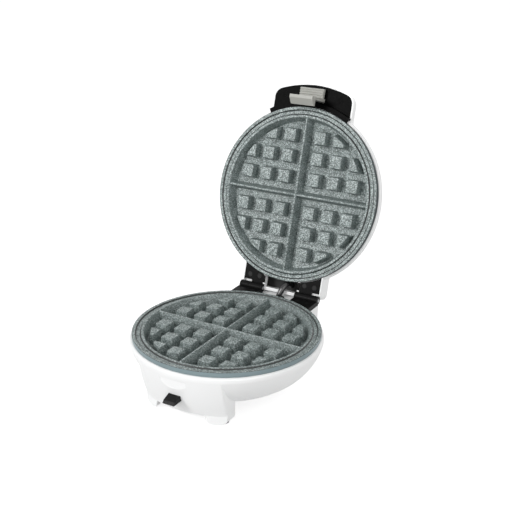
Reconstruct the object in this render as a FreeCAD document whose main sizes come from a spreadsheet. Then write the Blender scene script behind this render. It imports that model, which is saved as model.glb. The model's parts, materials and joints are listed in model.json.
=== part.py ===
import FreeCAD, Part
import math
import os
import Sketcher
from types import SimpleNamespace

# Round waffle maker with its lid open, in millimetres.
# The plate axis is Z, the worktop is z = 0, the handle is towards -Y and the hinge towards +Y.
# Pieces of the lid are drawn as they lie when the lid is closed, then turned open about the hinge pins.

SIZES = {
    # Where the two halves meet
    "parting_height": 60.0,
    "parting_gap": 0.3,
    "seat_clearance": 0.3,
    # Housing shells
    "wall": 2.5,
    "rim_radius": 97.5,
    "rim_round": 2.5,
    "rim_depth": 4.0,
    "strap_half_width": 48.0,
    # Bowl of the base
    "bowl_floor_height": 12.0,
    "bowl_belly": 38.0,
    "bowl_side_drop": 10.0,
    "bowl_curve": 52.0,
    # Front skirt and its two feet
    "skirt_lean": 9.5,
    "skirt_curve": 200.0,
    "skirt_wall": 4.5,
    "skirt_depth": 36.5,
    "skirt_corner": 3.0,
    "arch_height": 10.0,
    "arch_lean": 2.5,
    "foot_width": 16.3,
    "foot_lean": 1.7,
    "foot_round": 5.0,
    # Rear block that carries the hinge
    "deck_overhang": 11.4,
    "deck_drop": 6.5,
    "rear_corner": 3.0,
    "rear_foot_length": 31.0,
    # Rubber foot pads
    "pad_radius": 6.0,
    "pad_thickness": 2.3,
    "pad_proud": 0.8,
    "pad_inset": 8.3,
    "front_pad_margin": 9.0,
    "rear_pad_margin": 21.0,
    "pad_clearance": 0.1,
    # Waffle plates
    "plate_inset": 2.5,
    "flange_height": 5.0,
    "outer_land": 4.0,
    "cavity_depth": 12.0,
    "cavity_draft": 15.0,
    "land_width": 2.7,
    "groove_width": 5.0,
    "groove_depth": 1.4,
    "groove_slope": 0.8,
    "plate_floor": 3.5,
    "drum_step": 3.5,
    "drum_draw": 3.0,
    "peg_offset": 18.0,
    "peg_pitch": 22.7,
    "peg_base": 15.5,
    "peg_height": 10.5,
    "peg_draft": 12.0,
    "moat_width": 7.3,
    "ridge_top": 2.0,
    "ridge_draft": 15.0,
    "ridge_bury": 3.9,
    # Heating elements in the backs of the plates
    "element_inset": 32.5,
    "element_tube": 3.3,
    "element_fit": 0.05,
    "element_ridge_width": 12.0,
    "element_ridge_height": 4.0,
    "element_gap_angle": 30.0,
    "element_tail": 6.5,
    "terminal_radius": 1.4,
    "terminal_length": 3.5,
    # Bosses and screws that hold plates and reflectors
    "boss_inset": 16.5,
    "boss_radius": 5.0,
    "boss_length": 9.0,
    "plate_screw_radius": 1.7,
    "plate_screw_depth": 6.5,
    "plate_screw_head": 3.2,
    "plate_screw_head_height": 2.2,
    "screw_sink": 12.0,
    "screw_clearance": 0.2,
    "post_radius": 4.8,
    # Reflector dishes behind the plates
    "sheet_thickness": 0.8,
    "reflector_margin": 3.5,
    "reflector_slope": 6.0,
    "reflector_rim_height": 7.0,
    "reflector_centre_hole": 11.0,
    "tail_hole_clearance": 1.5,
    # Thermostat and thermal fuse on the lower plate
    "thermostat_cap_radius": 8.4,
    "thermostat_cap_height": 2.0,
    "thermostat_radius": 7.4,
    "thermostat_height": 11.0,
    "blade_width": 6.3,
    "blade_thickness": 0.8,
    "blade_length": 8.0,
    "blade_spacing": 4.0,
    "fuse_radius": 2.2,
    "fuse_length": 11.0,
    "fuse_lead_radius": 0.5,
    "fuse_lead_length": 7.0,
    # Terminal block
    "block_length": 34.0,
    "block_width": 14.0,
    "block_height": 12.0,
    "block_inset": 21.2,
    "block_bore": 2.0,
    "block_pitch": 10.0,
    # Hinge
    "hinge_offset": 10.1,
    "hinge_drop": 1.2,
    "open_angle": 107.3,
    "knuckle_radius": 4.5,
    "knuckle_clearance": 0.5,
    "knuckle_gap": 0.3,
    "pin_radius": 2.0,
    "pin_press_fit": 0.01,
    "pin_running_fit": 0.06,
    "pin_proud": 0.6,
    "hinge_inner": 20.5,
    "hinge_inset": 0.2,
    "ear_width": 2.0,
    "lid_knuckle_width": 13.9,
    "bracket_height": 5.1,
    "leaf_lift": 1.0,
    "leaf_thickness": 3.0,
    "leaf_inset": 1.5,
    "leaf_stop_clearance": 2.1,
    "hinge_screw_radius": 1.5,
    "hinge_screw_head": 2.6,
    "hinge_screw_head_height": 1.7,
    "hinge_screw_length": 7.5,
    "hinge_screw_inner": 28.0,
    "hinge_screw_pitch": 12.0,
    "leaf_screw_inset": 12.2,
    "bracket_screw_inset": 10.0,
    "hinge_boss_radius": 3.4,
    "hinge_boss_length": 5.5,
    # Lid shell
    "dome_side": 9.0,
    "dome_height": 33.5,
    "dome_shoulder": 35.5,
    "dome_curve": 39.5,
    "lid_rear_overhang": 1.4,
    "lid_rear_height": 18.0,
    "lid_rear_round": 6.0,
    "window_clearance": 0.5,
    "window_depth": 11.0,
    "window_margin": 2.1,
    "shield_thickness": 1.0,
    "shield_overlap": 8.0,
    "shield_gap": 1.0,
    # Handle on the lid
    "handle_overhang": 23.3,
    "handle_corner": 12.0,
    "handle_lift": 8.0,
    "handle_thickness": 13.0,
    "handle_draft": 5.0,
    "handle_round": 3.5,
    "handle_edge": 1.6,
    "handle_roof": 2.3,
    "insert_thickness": 2.0,
    "insert_clearance": 0.2,
    "lip_angle": 57.0,
    "lip_thickness": 2.5,
    "lip_lift": 2.0,
    "handle_screw_inset": 15.0,
    "handle_screw_offset": 9.0,
    "handle_screw_radius": 1.4,
    "handle_screw_head": 2.4,
    "handle_screw_head_height": 1.2,
    "handle_screw_length": 7.0,
    "handle_boss_radius": 3.2,
    # Latch on the handle
    "latch_half_width": 14.0,
    "hook_half_width": 13.5,
    "latch_stand_off": 7.7,
    "latch_arm_thickness": 3.0,
    "latch_pivot_inset": 1.5,
    "latch_pivot_lift": 13.0,
    "latch_boss_radius": 3.0,
    "latch_pad_length": 10.3,
    "latch_pad_lift": 2.5,
    "latch_pad_thickness": 3.3,
    "latch_rib_radius": 0.9,
    "latch_rib_count": 4,
    "hook_tip": 21.4,
    "hook_ramp": 15.9,
    "hook_catch": 13.3,
    "hook_bite": 2.0,
    "hook_tip_thickness": 3.2,
    "latch_pin_radius": 1.25,
    "latch_pin_clearance": 0.04,
    "latch_slot_clearance": 1.1,
    "lug_thickness": 2.5,
    "lug_gap": 0.5,
    "lug_half_depth": 3.2,
    "lug_crown": 3.4,
    "spring_half_width": 4.5,
    "spring_slot_half_width": 5.2,
    "spring_coil_radius": 2.1,
    "spring_wire": 0.35,
    "spring_turns": 6,
    "catch_clearance": 0.3,
    "catch_depth": 9.5,
    "catch_half_width": 14.5,
    # Front button, its switch and its spring
    "button_half_width": 6.5,
    "button_top": 30.5,
    "button_bottom": 36.2,
    "button_setback": 3.8,
    "button_shoulder_length": 8.2,
    "button_shoulder": 33.4,
    "button_nose_length": 10.3,
    "button_stem_length": 8.2,
    "button_flange_thickness": 1.6,
    "button_flange_proud": 1.4,
    "button_clearance": 0.3,
    "button_spring_coil": 1.9,
    "button_spring_wire": 0.3,
    "button_spring_turns": 5,
    "switch_gap": 5.0,
    "switch_half_width": 9.0,
    "switch_depth": 14.0,
    "switch_drop": 27.0,
    # Cable gland at the back
    "gland_height": 26.0,
    "gland_radius": 6.0,
    "gland_flange_radius": 8.0,
    "gland_flange": 2.2,
    "gland_inner_length": 6.0,
    "gland_bore": 3.6,
    "gland_clearance": 0.15,
    # Wire sleeve between base and lid
    "sleeve_across": 3.0,
    "sleeve_radius": 3.2,
    "sleeve_root_inset": 4.6,
    "sleeve_root_depth": 9.0,
    "sleeve_rise": 4.0,
    "sleeve_crest_offset": 3.4,
    "sleeve_crest_rise": 13.5,
    "sleeve_end_offset": 16.8,
    "sleeve_end_rise": 8.2,
    "sleeve_bend": 8.0,
    "grommet_clearance": 0.3,
    "grommet_wall": 1.2,
    "grommet_flange": 0.6,
    "grommet_height": 1.0,
    # Indicator lenses and lamps on the lid
    "lens_across": 11.0,
    "lens_reach": 44.0,
    "lens_radius": 5.2,
    "lens_proud": 1.3,
    "lens_stem_radius": 4.0,
    "lens_stem_length": 3.4,
    "lens_bore": 2.6,
    "lens_clearance": 0.1,
    "lamp_radius": 2.5,
    "lamp_length": 5.0,
}

doc = FreeCAD.newDocument("waffle_maker")
sheet = doc.addObject("Spreadsheet::Sheet", "Sizes")
for row, (alias, number) in enumerate(SIZES.items(), start=1):
    sheet.set(f"A{row}", alias)
    sheet.set(f"B{row}", str(number))
    sheet.setAlias(f"B{row}", alias)
doc.recompute()


class Dim:
    """A number that remembers the sheet expression it comes from."""

    def __init__(self, number, text):
        self.number = float(number)
        self.text = text

    def __add__(self, other):
        other = dim(other)
        return Dim(self.number + other.number, f"({self.text} + {other.text})")

    def __sub__(self, other):
        other = dim(other)
        return Dim(self.number - other.number, f"({self.text} - {other.text})")

    def __mul__(self, other):
        other = dim(other)
        return Dim(self.number * other.number, f"({self.text} * {other.text})")

    def __truediv__(self, other):
        other = dim(other)
        return Dim(self.number / other.number, f"({self.text} / {other.text})")

    def __radd__(self, other):
        return dim(other) + self

    def __rsub__(self, other):
        return dim(other) - self

    def __rmul__(self, other):
        return dim(other) * self

    def __neg__(self):
        return Dim(-self.number, f"(0 - {self.text})")


def dim(number):
    if isinstance(number, Dim):
        return number
    return Dim(number, repr(float(number)))


def tangent(angle):
    return Dim(math.tan(math.radians(angle.number)), f"tan({angle.text})")


def root(square):
    return Dim(math.sqrt(square.number), f"sqrt({square.text})")


def depth_on_circle(radius, across):
    """How far from the X axis a circle about Z lies at a distance across."""
    return root(radius * radius - across * across)


size = SimpleNamespace(**{alias: Dim(number, f"Sizes.{alias}") for alias, number in SIZES.items()})

# Sizes of the housing that follow from its rim
size.bowl_floor_radius = size.rim_radius - size.bowl_belly
size.bowl_side_height = size.parting_height - size.bowl_side_drop
size.skirt_foot_radius = size.rim_radius - size.skirt_lean
size.skirt_back = size.rim_radius - size.skirt_depth
size.hinge_reach = size.rim_radius + size.hinge_offset
size.rear_radius = size.hinge_reach + size.deck_overhang
size.rear_foot_start = size.rear_radius - size.rear_foot_length
size.foot_outer = size.strap_half_width - size.foot_lean
size.foot_inner = size.foot_outer - size.foot_width
size.arch_half_width = size.foot_inner - size.arch_lean
size.pad_across = size.foot_outer - size.pad_inset
size.front_pad_reach = depth_on_circle(size.skirt_foot_radius - size.front_pad_margin, size.pad_across)
size.rear_pad_reach = size.rear_radius - size.rear_pad_margin
size.dome_top_radius = size.rim_radius - size.dome_shoulder

# Sizes of the plates and what sits behind them
size.plate_radius = size.rim_radius - size.plate_inset
size.drum_top_radius = size.plate_radius - size.drum_step
size.drum_base_radius = size.drum_top_radius - size.drum_draw
size.cavity_radius = size.plate_radius - size.outer_land - size.groove_width - size.land_width
size.peg_circle = size.cavity_radius - size.moat_width
size.element_radius = size.drum_base_radius - size.element_inset
size.boss_circle = size.drum_base_radius - size.boss_inset
size.reflector_rim_radius = size.drum_base_radius - size.reflector_margin
size.reflector_flat_radius = size.reflector_rim_radius - size.reflector_slope
size.fuse_across = (size.thermostat_cap_radius + size.element_radius - size.element_ridge_width / 2) / 2
size.block_reach = size.bowl_floor_radius - size.block_inset

# Sizes of hinge, handle, latch, button and wires that follow from the rim and the hinge
size.hinge_outer = size.strap_half_width - size.hinge_inset
size.leaf_outer = size.strap_half_width - size.leaf_inset
size.leaf_stop = size.knuckle_radius + size.leaf_stop_clearance
size.hinge_screw_outer = size.hinge_screw_inner + size.hinge_screw_pitch
size.leaf_screw_reach = size.hinge_reach - size.leaf_screw_inset
size.bracket_screw_reach = size.hinge_reach - size.bracket_screw_inset
size.window_half_width = size.hinge_inner - size.window_clearance
size.handle_radius = size.rim_radius + size.handle_overhang
size.handle_screw_across = size.strap_half_width - size.handle_screw_inset
size.handle_screw_reach = size.rim_radius + size.handle_screw_offset
size.latch_arm_outer = size.rim_radius + size.latch_stand_off
size.latch_pivot_reach = size.latch_arm_outer - size.latch_pivot_inset
size.latch_pad_reach = size.latch_arm_outer + size.latch_pad_length
size.hook_nose_reach = size.rim_radius - size.hook_bite
size.button_root_reach = size.rim_radius - size.button_setback
size.button_shoulder_reach = size.button_root_reach + size.button_shoulder_length
size.button_nose_reach = size.button_root_reach + size.button_nose_length
size.button_stem_reach = size.button_root_reach - size.button_stem_length
size.switch_top = size.parting_height - size.switch_drop
size.sleeve_root_reach = size.hinge_reach - size.sleeve_root_inset
size.sleeve_crest_reach = size.hinge_reach + size.sleeve_crest_offset
size.sleeve_end_reach = size.hinge_reach + size.sleeve_end_offset

# Heights and places that several pieces share
half_gap = size.parting_gap / 2
base_rim_top = size.parting_height - half_gap - size.flange_height
lid_rim_bottom = size.parting_height + half_gap + size.flange_height
rim_bore = size.drum_top_radius + size.seat_clearance
plate_depth = size.cavity_depth + size.plate_floor
boss_depth = plate_depth + size.boss_length
base_boss_foot = size.parting_height - half_gap - boss_depth
lid_boss_foot = size.parting_height + half_gap + boss_depth
base_plate_back = size.parting_height - half_gap - plate_depth
deck_height = size.parting_height - size.deck_drop
hinge_height = size.parting_height - size.hinge_drop
base_floor = size.arch_height + size.wall
handle_bottom = size.parting_height + size.handle_lift
insert_top = handle_bottom + size.insert_thickness
handle_ceiling = handle_bottom + size.handle_thickness - size.handle_roof
leaf_bottom = size.parting_height + size.leaf_lift
leaf_top = leaf_bottom + size.leaf_thickness
lid_rear_reach = size.hinge_reach + size.lid_rear_overhang
lid_knuckle_inner = size.hinge_inner + size.ear_width + size.knuckle_gap
lid_knuckle_outer = lid_knuckle_inner + size.lid_knuckle_width
base_knuckle_inner = lid_knuckle_outer + size.knuckle_gap
latch_pivot_height = size.parting_height + size.latch_pivot_lift
dome_top = size.parting_height + size.dome_height
FULL_TURN = 360.0
PARTS = []


def bind(thing, **properties):
    for name, value in properties.items():
        thing.setExpression(name, dim(value).text)


def set_base(thing, x, y, z):
    """Puts a thing's placement at a point, each coordinate bound to the sheet."""
    for letter, value in zip("xyz", (x, y, z)):
        thing.setExpression(f"Placement.Base.{letter}", dim(value).text)


def new_body(name):
    return doc.addObject("PartDesign::Body", name)


def sketch_on(body, name, role, offset=None):
    """An empty sketch on one of the body's origin planes, lifted off it by an offset."""
    sketch = body.newObject("Sketcher::SketchObject", name)
    support = next(feature for feature in body.Origin.OriginFeatures if feature.Role == role)
    sketch.AttachmentSupport = (support, [""])
    sketch.MapMode = "FlatFace"
    if offset is not None:
        sketch.setExpression("AttachmentOffset.Base.z", dim(offset).text)
    return sketch


def fix_coordinate(sketch, edge, end, value, kind, axis):
    value = dim(value)
    if value.number == 0:
        sketch.addConstraint(Sketcher.Constraint("PointOnObject", edge, end, axis))
        return
    index = sketch.addConstraint(Sketcher.Constraint(kind, edge, end, value.number))
    sketch.setExpression(f"Constraints[{index}]", value.text)


def add_arc(sketch, start, finish, radius):
    """An arc to finish, to the left for a positive radius. Returns its edge and its two ends."""
    chord = finish - start
    side = 1 if radius.number > 0 else -1
    reach = math.sqrt(radius.number**2 - chord.Length**2 / 4)
    left = FreeCAD.Vector(-chord.y, chord.x, 0).normalize()
    centre = (start + finish) * 0.5 + left * (side * reach)
    first, last = (start, finish) if side > 0 else (finish, start)
    begin = math.atan2(first.y - centre.y, first.x - centre.x)
    end = math.atan2(last.y - centre.y, last.x - centre.x)
    if end <= begin:
        end += 2 * math.pi
    circle = Part.Circle(centre, FreeCAD.Vector(0, 0, 1), abs(radius.number))
    edge = sketch.addGeometry(Part.ArcOfCircle(circle, begin, end), False)
    index = sketch.addConstraint(Sketcher.Constraint("Radius", edge, abs(radius.number)))
    sketch.setExpression(f"Constraints[{index}]", (side * radius).text)
    return (edge, 1, 2) if side > 0 else (edge, 2, 1)


def add_loop(sketch, corners):
    """A closed outline. A corner (x, y, radius) is reached from the one before by an arc."""
    points = [FreeCAD.Vector(dim(corner[0]).number, dim(corner[1]).number, 0) for corner in corners]
    edges = []
    for index, corner in enumerate(corners):
        if len(corner) == 3:
            edges.append(add_arc(sketch, points[index - 1], points[index], dim(corner[2])))
        else:
            line = Part.LineSegment(points[index - 1], points[index])
            edges.append((sketch.addGeometry(line, False), 1, 2))
    for index, (edge, start, end) in enumerate(edges):
        before, _, before_end = edges[index - 1]
        sketch.addConstraint(Sketcher.Constraint("Coincident", before, before_end, edge, start))
        fix_coordinate(sketch, edge, end, corners[index][0], "DistanceX", -2)
        fix_coordinate(sketch, edge, end, corners[index][1], "DistanceY", -1)


def add_turn(body, name, corners, kind="PartDesign::Revolution"):
    """Turns an outline of (radius, height) about Z, as a solid or as a cut."""
    sketch = sketch_on(body, f"{name}_outline", "XZ_Plane")
    add_loop(sketch, corners)
    turn = body.newObject(kind, name)
    turn.Profile = sketch
    turn.ReferenceAxis = (sketch, ["V_Axis"])
    turn.Angle = FULL_TURN
    body.Tip = turn
    return turn


def turned(name, corners):
    body = new_body(name)
    add_turn(body, f"{name}_turn", corners)
    return body


def add_pad(body, name, role, outlines, start, length, draft=None):
    """Pads outlines from a start off an origin plane, narrowing by a draft angle."""
    sketch = sketch_on(body, f"{name}_outline", role, start)
    for corners in outlines:
        add_loop(sketch, corners)
    pad = body.newObject("PartDesign::Pad", name)
    pad.Profile = sketch
    bind(pad, Length=length)
    if draft is not None:
        bind(pad, TaperAngle=-draft)
    body.Tip = pad
    return pad


def padded(name, role, corners, start, length, draft=None):
    body = new_body(name)
    add_pad(body, f"{name}_pad", role, [corners], start, length, draft)
    return body


def round_edges(body, name, radius, wanted):
    """Rounds the edges of the body's tip that a test picks."""
    doc.recompute()
    tip = body.Tip
    names = [f"Edge{number}" for number, edge in enumerate(tip.Shape.Edges, start=1) if wanted(edge)]
    fillet = body.newObject("PartDesign::Fillet", name)
    fillet.Base = (tip, names)
    bind(fillet, Radius=radius)
    body.Tip = fillet


def rounded(name, thing, radius, wanted):
    """Rounds the edges of a finished shape that a test picks."""
    doc.recompute()
    fillet = doc.addObject("Part::Fillet", name)
    fillet.Base = thing
    edges = enumerate(thing.Shape.Edges, start=1)
    fillet.Edges = [(number, radius.number, radius.number) for number, edge in edges if wanted(edge)]
    return fillet


def block(name, x_from, x_to, y_from, y_to, z_from, z_to):
    box = doc.addObject("Part::Box", name)
    bind(box, Length=dim(x_to) - x_from, Width=dim(y_to) - y_from, Height=dim(z_to) - z_from)
    set_base(box, x_from, y_from, z_from)
    return box


ROD_TURNS = {
    "X": FreeCAD.Rotation(FreeCAD.Vector(0, 1, 0), 90),
    "Y": FreeCAD.Rotation(FreeCAD.Vector(1, 0, 0), -90),
    "Z": FreeCAD.Rotation(),
}


def rod(name, axis, radius, length, x, y, z):
    """A cylinder that starts at a point and runs along +X, +Y or +Z."""
    cylinder = doc.addObject("Part::Cylinder", name)
    cylinder.Placement = FreeCAD.Placement(FreeCAD.Vector(), ROD_TURNS[axis])
    bind(cylinder, Radius=radius, Height=length)
    set_base(cylinder, x, y, z)
    return cylinder


def fused(name, shapes):
    union = doc.addObject("Part::MultiFuse", name)
    union.Shapes = shapes
    union.Refine = True
    return union


def grouped(name, shapes):
    group = doc.addObject("Part::Compound", name)
    group.Links = shapes
    return group


def cut(name, base, tools):
    result = doc.addObject("Part::Cut", name)
    result.Base = base
    result.Tool = tools[0] if len(tools) == 1 else fused(f"{name}_tools", tools)
    result.Refine = True
    return result


def shared(name, first, second):
    result = doc.addObject("Part::Common", name)
    result.Base = first
    result.Tool = second
    return result


def lid_opening():
    """The turn about the hinge pins that opens the lid."""
    pins = FreeCAD.Vector(0, size.hinge_reach.number, hinge_height.number)
    turn = FreeCAD.Rotation(FreeCAD.Vector(1, 0, 0), -size.open_angle.number)
    return FreeCAD.Placement(FreeCAD.Vector(), turn, pins)


def hand_in(label, thing, lid=False, before=None):
    """Names a finished piece and puts it in place, with the lid's pieces turned open."""
    placement = before or thing.Placement
    thing.Placement = lid_opening().multiply(placement) if lid else placement
    thing.Label = label
    PARTS.append(thing)


def around(name, count, first_angle, make):
    """Makes count things at equal angles about Z. make gets a name, an x and a y direction."""
    things = []
    for index in range(count):
        angle = math.radians(first_angle + index * FULL_TURN / count)
        things.append(make(f"{name}_{index + 1}", math.cos(angle), math.sin(angle)))
    return things


BOSS_COUNT = 3
BOSS_FIRST_ANGLE = 90.0
PEGS_A_SIDE = 3


def waffle_plate(name):
    """One cast plate with its cooking face up and its rim in z = 0."""
    body = new_body(name)
    floor_radius = size.cavity_radius - size.cavity_depth * tangent(size.cavity_draft)
    groove_inner = size.cavity_radius + size.land_width
    groove_outer = groove_inner + size.groove_width
    add_turn(body, f"{name}_casting", [
        (0, -size.cavity_depth),
        (floor_radius, -size.cavity_depth),
        (size.cavity_radius, 0),
        (groove_inner, 0),
        (groove_inner + size.groove_slope, -size.groove_depth),
        (groove_outer - size.groove_slope, -size.groove_depth),
        (groove_outer, 0),
        (size.plate_radius, 0),
        (size.plate_radius, -size.flange_height),
        (size.drum_top_radius, -size.flange_height),
        (size.drum_base_radius, -plate_depth),
        (0, -plate_depth),
    ])
    half = size.peg_base / 2
    pegs = []
    for column in range(PEGS_A_SIDE):
        for row_number in range(PEGS_A_SIDE):
            if column == row_number == PEGS_A_SIDE - 1:
                continue
            x = size.peg_offset + column * size.peg_pitch
            y = size.peg_offset + row_number * size.peg_pitch
            pegs.append([
                (x - half, y - half), (x + half, y - half), (x + half, y + half), (x - half, y + half),
            ])
    pad = add_pad(
        body, f"{name}_pegs", "XY_Plane", pegs, -size.cavity_depth, size.peg_height, size.peg_draft)
    pattern = body.newObject("PartDesign::PolarPattern", f"{name}_quarters")
    pattern.Originals = [pad]
    pattern.Axis = (pad.Profile[0], ["N_Axis"])
    pattern.Angle = FULL_TURN
    pattern.Occurrences = 4
    body.Tip = pattern
    add_turn(body, f"{name}_moat", [
        (size.peg_circle + size.cavity_depth * tangent(size.peg_draft), -size.cavity_depth),
        (floor_radius, -size.cavity_depth),
        (size.cavity_radius, 0),
        (size.peg_circle, 0),
    ], "PartDesign::Groove")
    long_half = size.cavity_radius + size.ridge_bury
    side = size.ridge_top / 2 + size.cavity_depth * tangent(size.ridge_draft)
    cross = [
        (side, side), (side, long_half), (-side, long_half), (-side, side),
        (-long_half, side), (-long_half, -side), (-side, -side), (-side, -long_half),
        (side, -long_half), (side, -side), (long_half, -side), (long_half, side),
    ]
    add_pad(
        body, f"{name}_cross", "XY_Plane", [cross], -size.cavity_depth, size.cavity_depth, size.ridge_draft)
    return body


def plate_with_back(name):
    """The cast plate with the channel for its element and the bosses for its screws."""
    ridge_inner = size.element_radius - size.element_ridge_width / 2
    ridge_outer = size.element_radius + size.element_ridge_width / 2
    channel_depth = plate_depth + size.element_ridge_height
    channel_radius = size.element_tube + size.element_fit
    ridge = turned(f"{name}_ridge", [
        (ridge_inner, -channel_depth),
        (size.element_radius - channel_radius, -channel_depth),
        (size.element_radius + channel_radius, -channel_depth, -channel_radius * 1.0001),
        (ridge_outer, -channel_depth),
        (ridge_outer, -plate_depth),
        (ridge_inner, -plate_depth),
    ])

    def boss(label, x, y):
        return rod(
            label, "Z", size.boss_radius, size.boss_length,
            x * size.boss_circle, y * size.boss_circle, -boss_depth)

    def pilot(label, x, y):
        depth = size.plate_screw_depth + size.screw_clearance
        return rod(
            label, "Z", size.plate_screw_radius, depth,
            x * size.boss_circle, y * size.boss_circle, -boss_depth)

    bosses = around(f"{name}_boss", BOSS_COUNT, BOSS_FIRST_ANGLE, boss)
    pilots = around(f"{name}_pilot", BOSS_COUNT, BOSS_FIRST_ANGLE, pilot)
    return cut(f"{name}_drilled", fused(f"{name}_whole", [waffle_plate(name), ridge] + bosses), pilots)


def element(name):
    """A tubular heater, a ring open towards the hinge, with its two ends turned away from the plate."""
    depth = plate_depth + size.element_ridge_height
    half_gap_angle = SIZES["element_gap_angle"] / 2
    ring = doc.addObject("Part::Torus", f"{name}_ring")
    sweep = FULL_TURN - size.element_gap_angle
    bind(ring, Radius1=size.element_radius, Radius2=size.element_tube, Angle3=sweep)
    start = FreeCAD.Rotation(FreeCAD.Vector(0, 0, 1), 90 + half_gap_angle)
    ring.Placement = FreeCAD.Placement(FreeCAD.Vector(), start)
    set_base(ring, 0, 0, -depth)
    pieces = [ring]
    for index, angle in enumerate((90 - half_gap_angle, 90 + half_gap_angle)):
        x = math.cos(math.radians(angle)) * size.element_radius
        y = math.sin(math.radians(angle)) * size.element_radius
        elbow = doc.addObject("Part::Sphere", f"{name}_elbow_{index}")
        bind(elbow, Radius=size.element_tube)
        set_base(elbow, x, y, -depth)
        pieces.append(elbow)
        tail_end = -depth - size.element_tail
        pieces.append(rod(f"{name}_tail_{index}", "Z", size.element_tube, size.element_tail, x, y, tail_end))
        pin_end = tail_end - size.terminal_length
        pieces.append(rod(
            f"{name}_pin_{index}", "Z", size.terminal_radius, size.terminal_length, x, y, pin_end))
    return fused(name, pieces)


def reflector(name):
    """A sheet dish against the feet of the plate's bosses, with its holes."""
    top = -boss_depth
    bottom = top - size.sheet_thickness
    dish = turned(f"{name}_dish", [
        (size.reflector_centre_hole, bottom),
        (size.reflector_flat_radius, bottom),
        (size.reflector_rim_radius, bottom + size.reflector_rim_height),
        (size.reflector_rim_radius - size.sheet_thickness, bottom + size.reflector_rim_height),
        (size.reflector_flat_radius - size.sheet_thickness, top),
        (size.reflector_centre_hole, top),
    ])

    def screw_hole(label, x, y):
        radius = size.plate_screw_radius + size.screw_clearance
        return rod(
            label, "Z", radius, size.boss_length,
            x * size.boss_circle, y * size.boss_circle, bottom - size.wall)

    holes = around(f"{name}_screw_hole", BOSS_COUNT, BOSS_FIRST_ANGLE, screw_hole)
    half_gap_angle = SIZES["element_gap_angle"] / 2
    for index, angle in enumerate((90 - half_gap_angle, 90 + half_gap_angle)):
        x = math.cos(math.radians(angle)) * size.element_radius
        y = math.sin(math.radians(angle)) * size.element_radius
        radius = size.element_tube + size.tail_hole_clearance
        holes.append(rod(
            f"{name}_tail_hole_{index}", "Z", radius, size.boss_length, x, y, bottom - size.wall))
    return cut(name, dish, holes)


LOWER = FreeCAD.Placement(
    FreeCAD.Vector(0, 0, (size.parting_height - half_gap).number),
    FreeCAD.Rotation(),
)
UPPER = FreeCAD.Placement(
    FreeCAD.Vector(0, 0, (size.parting_height + half_gap).number),
    FreeCAD.Rotation(FreeCAD.Vector(0, 1, 0), 180),
)


def cooking_pieces():
    """Plate, heater and reflector of each half. The upper ones face down."""
    for half, place, lid in (("lower", LOWER, False), ("upper", UPPER, True)):
        hand_in(f"{half}_plate", plate_with_back(f"{half}_plate_body"), lid, place)
        hand_in(f"{half}_heating_element", element(f"{half}_element"), lid, place)
        dish = "base_reflector" if half == "lower" else "lid_reflector"
        hand_in(dish, reflector(f"{half}_reflector"), lid, place)


def block_profile(top):
    """Front view of a block with two feet and an arch between them, as (across, height)."""
    return [
        (size.strap_half_width, top), (-size.strap_half_width, top),
        (-size.foot_outer, size.pad_proud), (-size.foot_inner, size.pad_proud),
        (-size.arch_half_width, size.arch_height), (size.arch_half_width, size.arch_height),
        (size.foot_inner, size.pad_proud), (size.foot_outer, size.pad_proud),
    ]


def footed_block(name, turn_corners, top, reach, towards_back, corner):
    """A turned wall cut to the width of the front and rear blocks, with rounded feet."""
    start = -reach if towards_back else size.skirt_back
    profile = padded(f"{name}_profile", "XZ_Plane", block_profile(top), start, reach - size.skirt_back)

    def at_foot(edge):
        box = edge.BoundBox
        return box.YLength > 1 and box.XLength < 0.01 and box.ZMax < SIZES["arch_height"] - 0.01

    round_edges(profile, f"{name}_foot_rounds", size.foot_round, at_foot)
    sharp = shared(f"{name}_sharp", turned(f"{name}_turn", turn_corners), profile)

    def at_corner(edge):
        box = edge.BoundBox
        outside = min(abs(box.YMin), abs(box.YMax)) > (size.skirt_back + size.wall).number
        return outside and box.ZLength > size.foot_round.number and abs(box.Center.x) > size.foot_inner.number

    return rounded(name, sharp, corner, at_corner)


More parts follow.
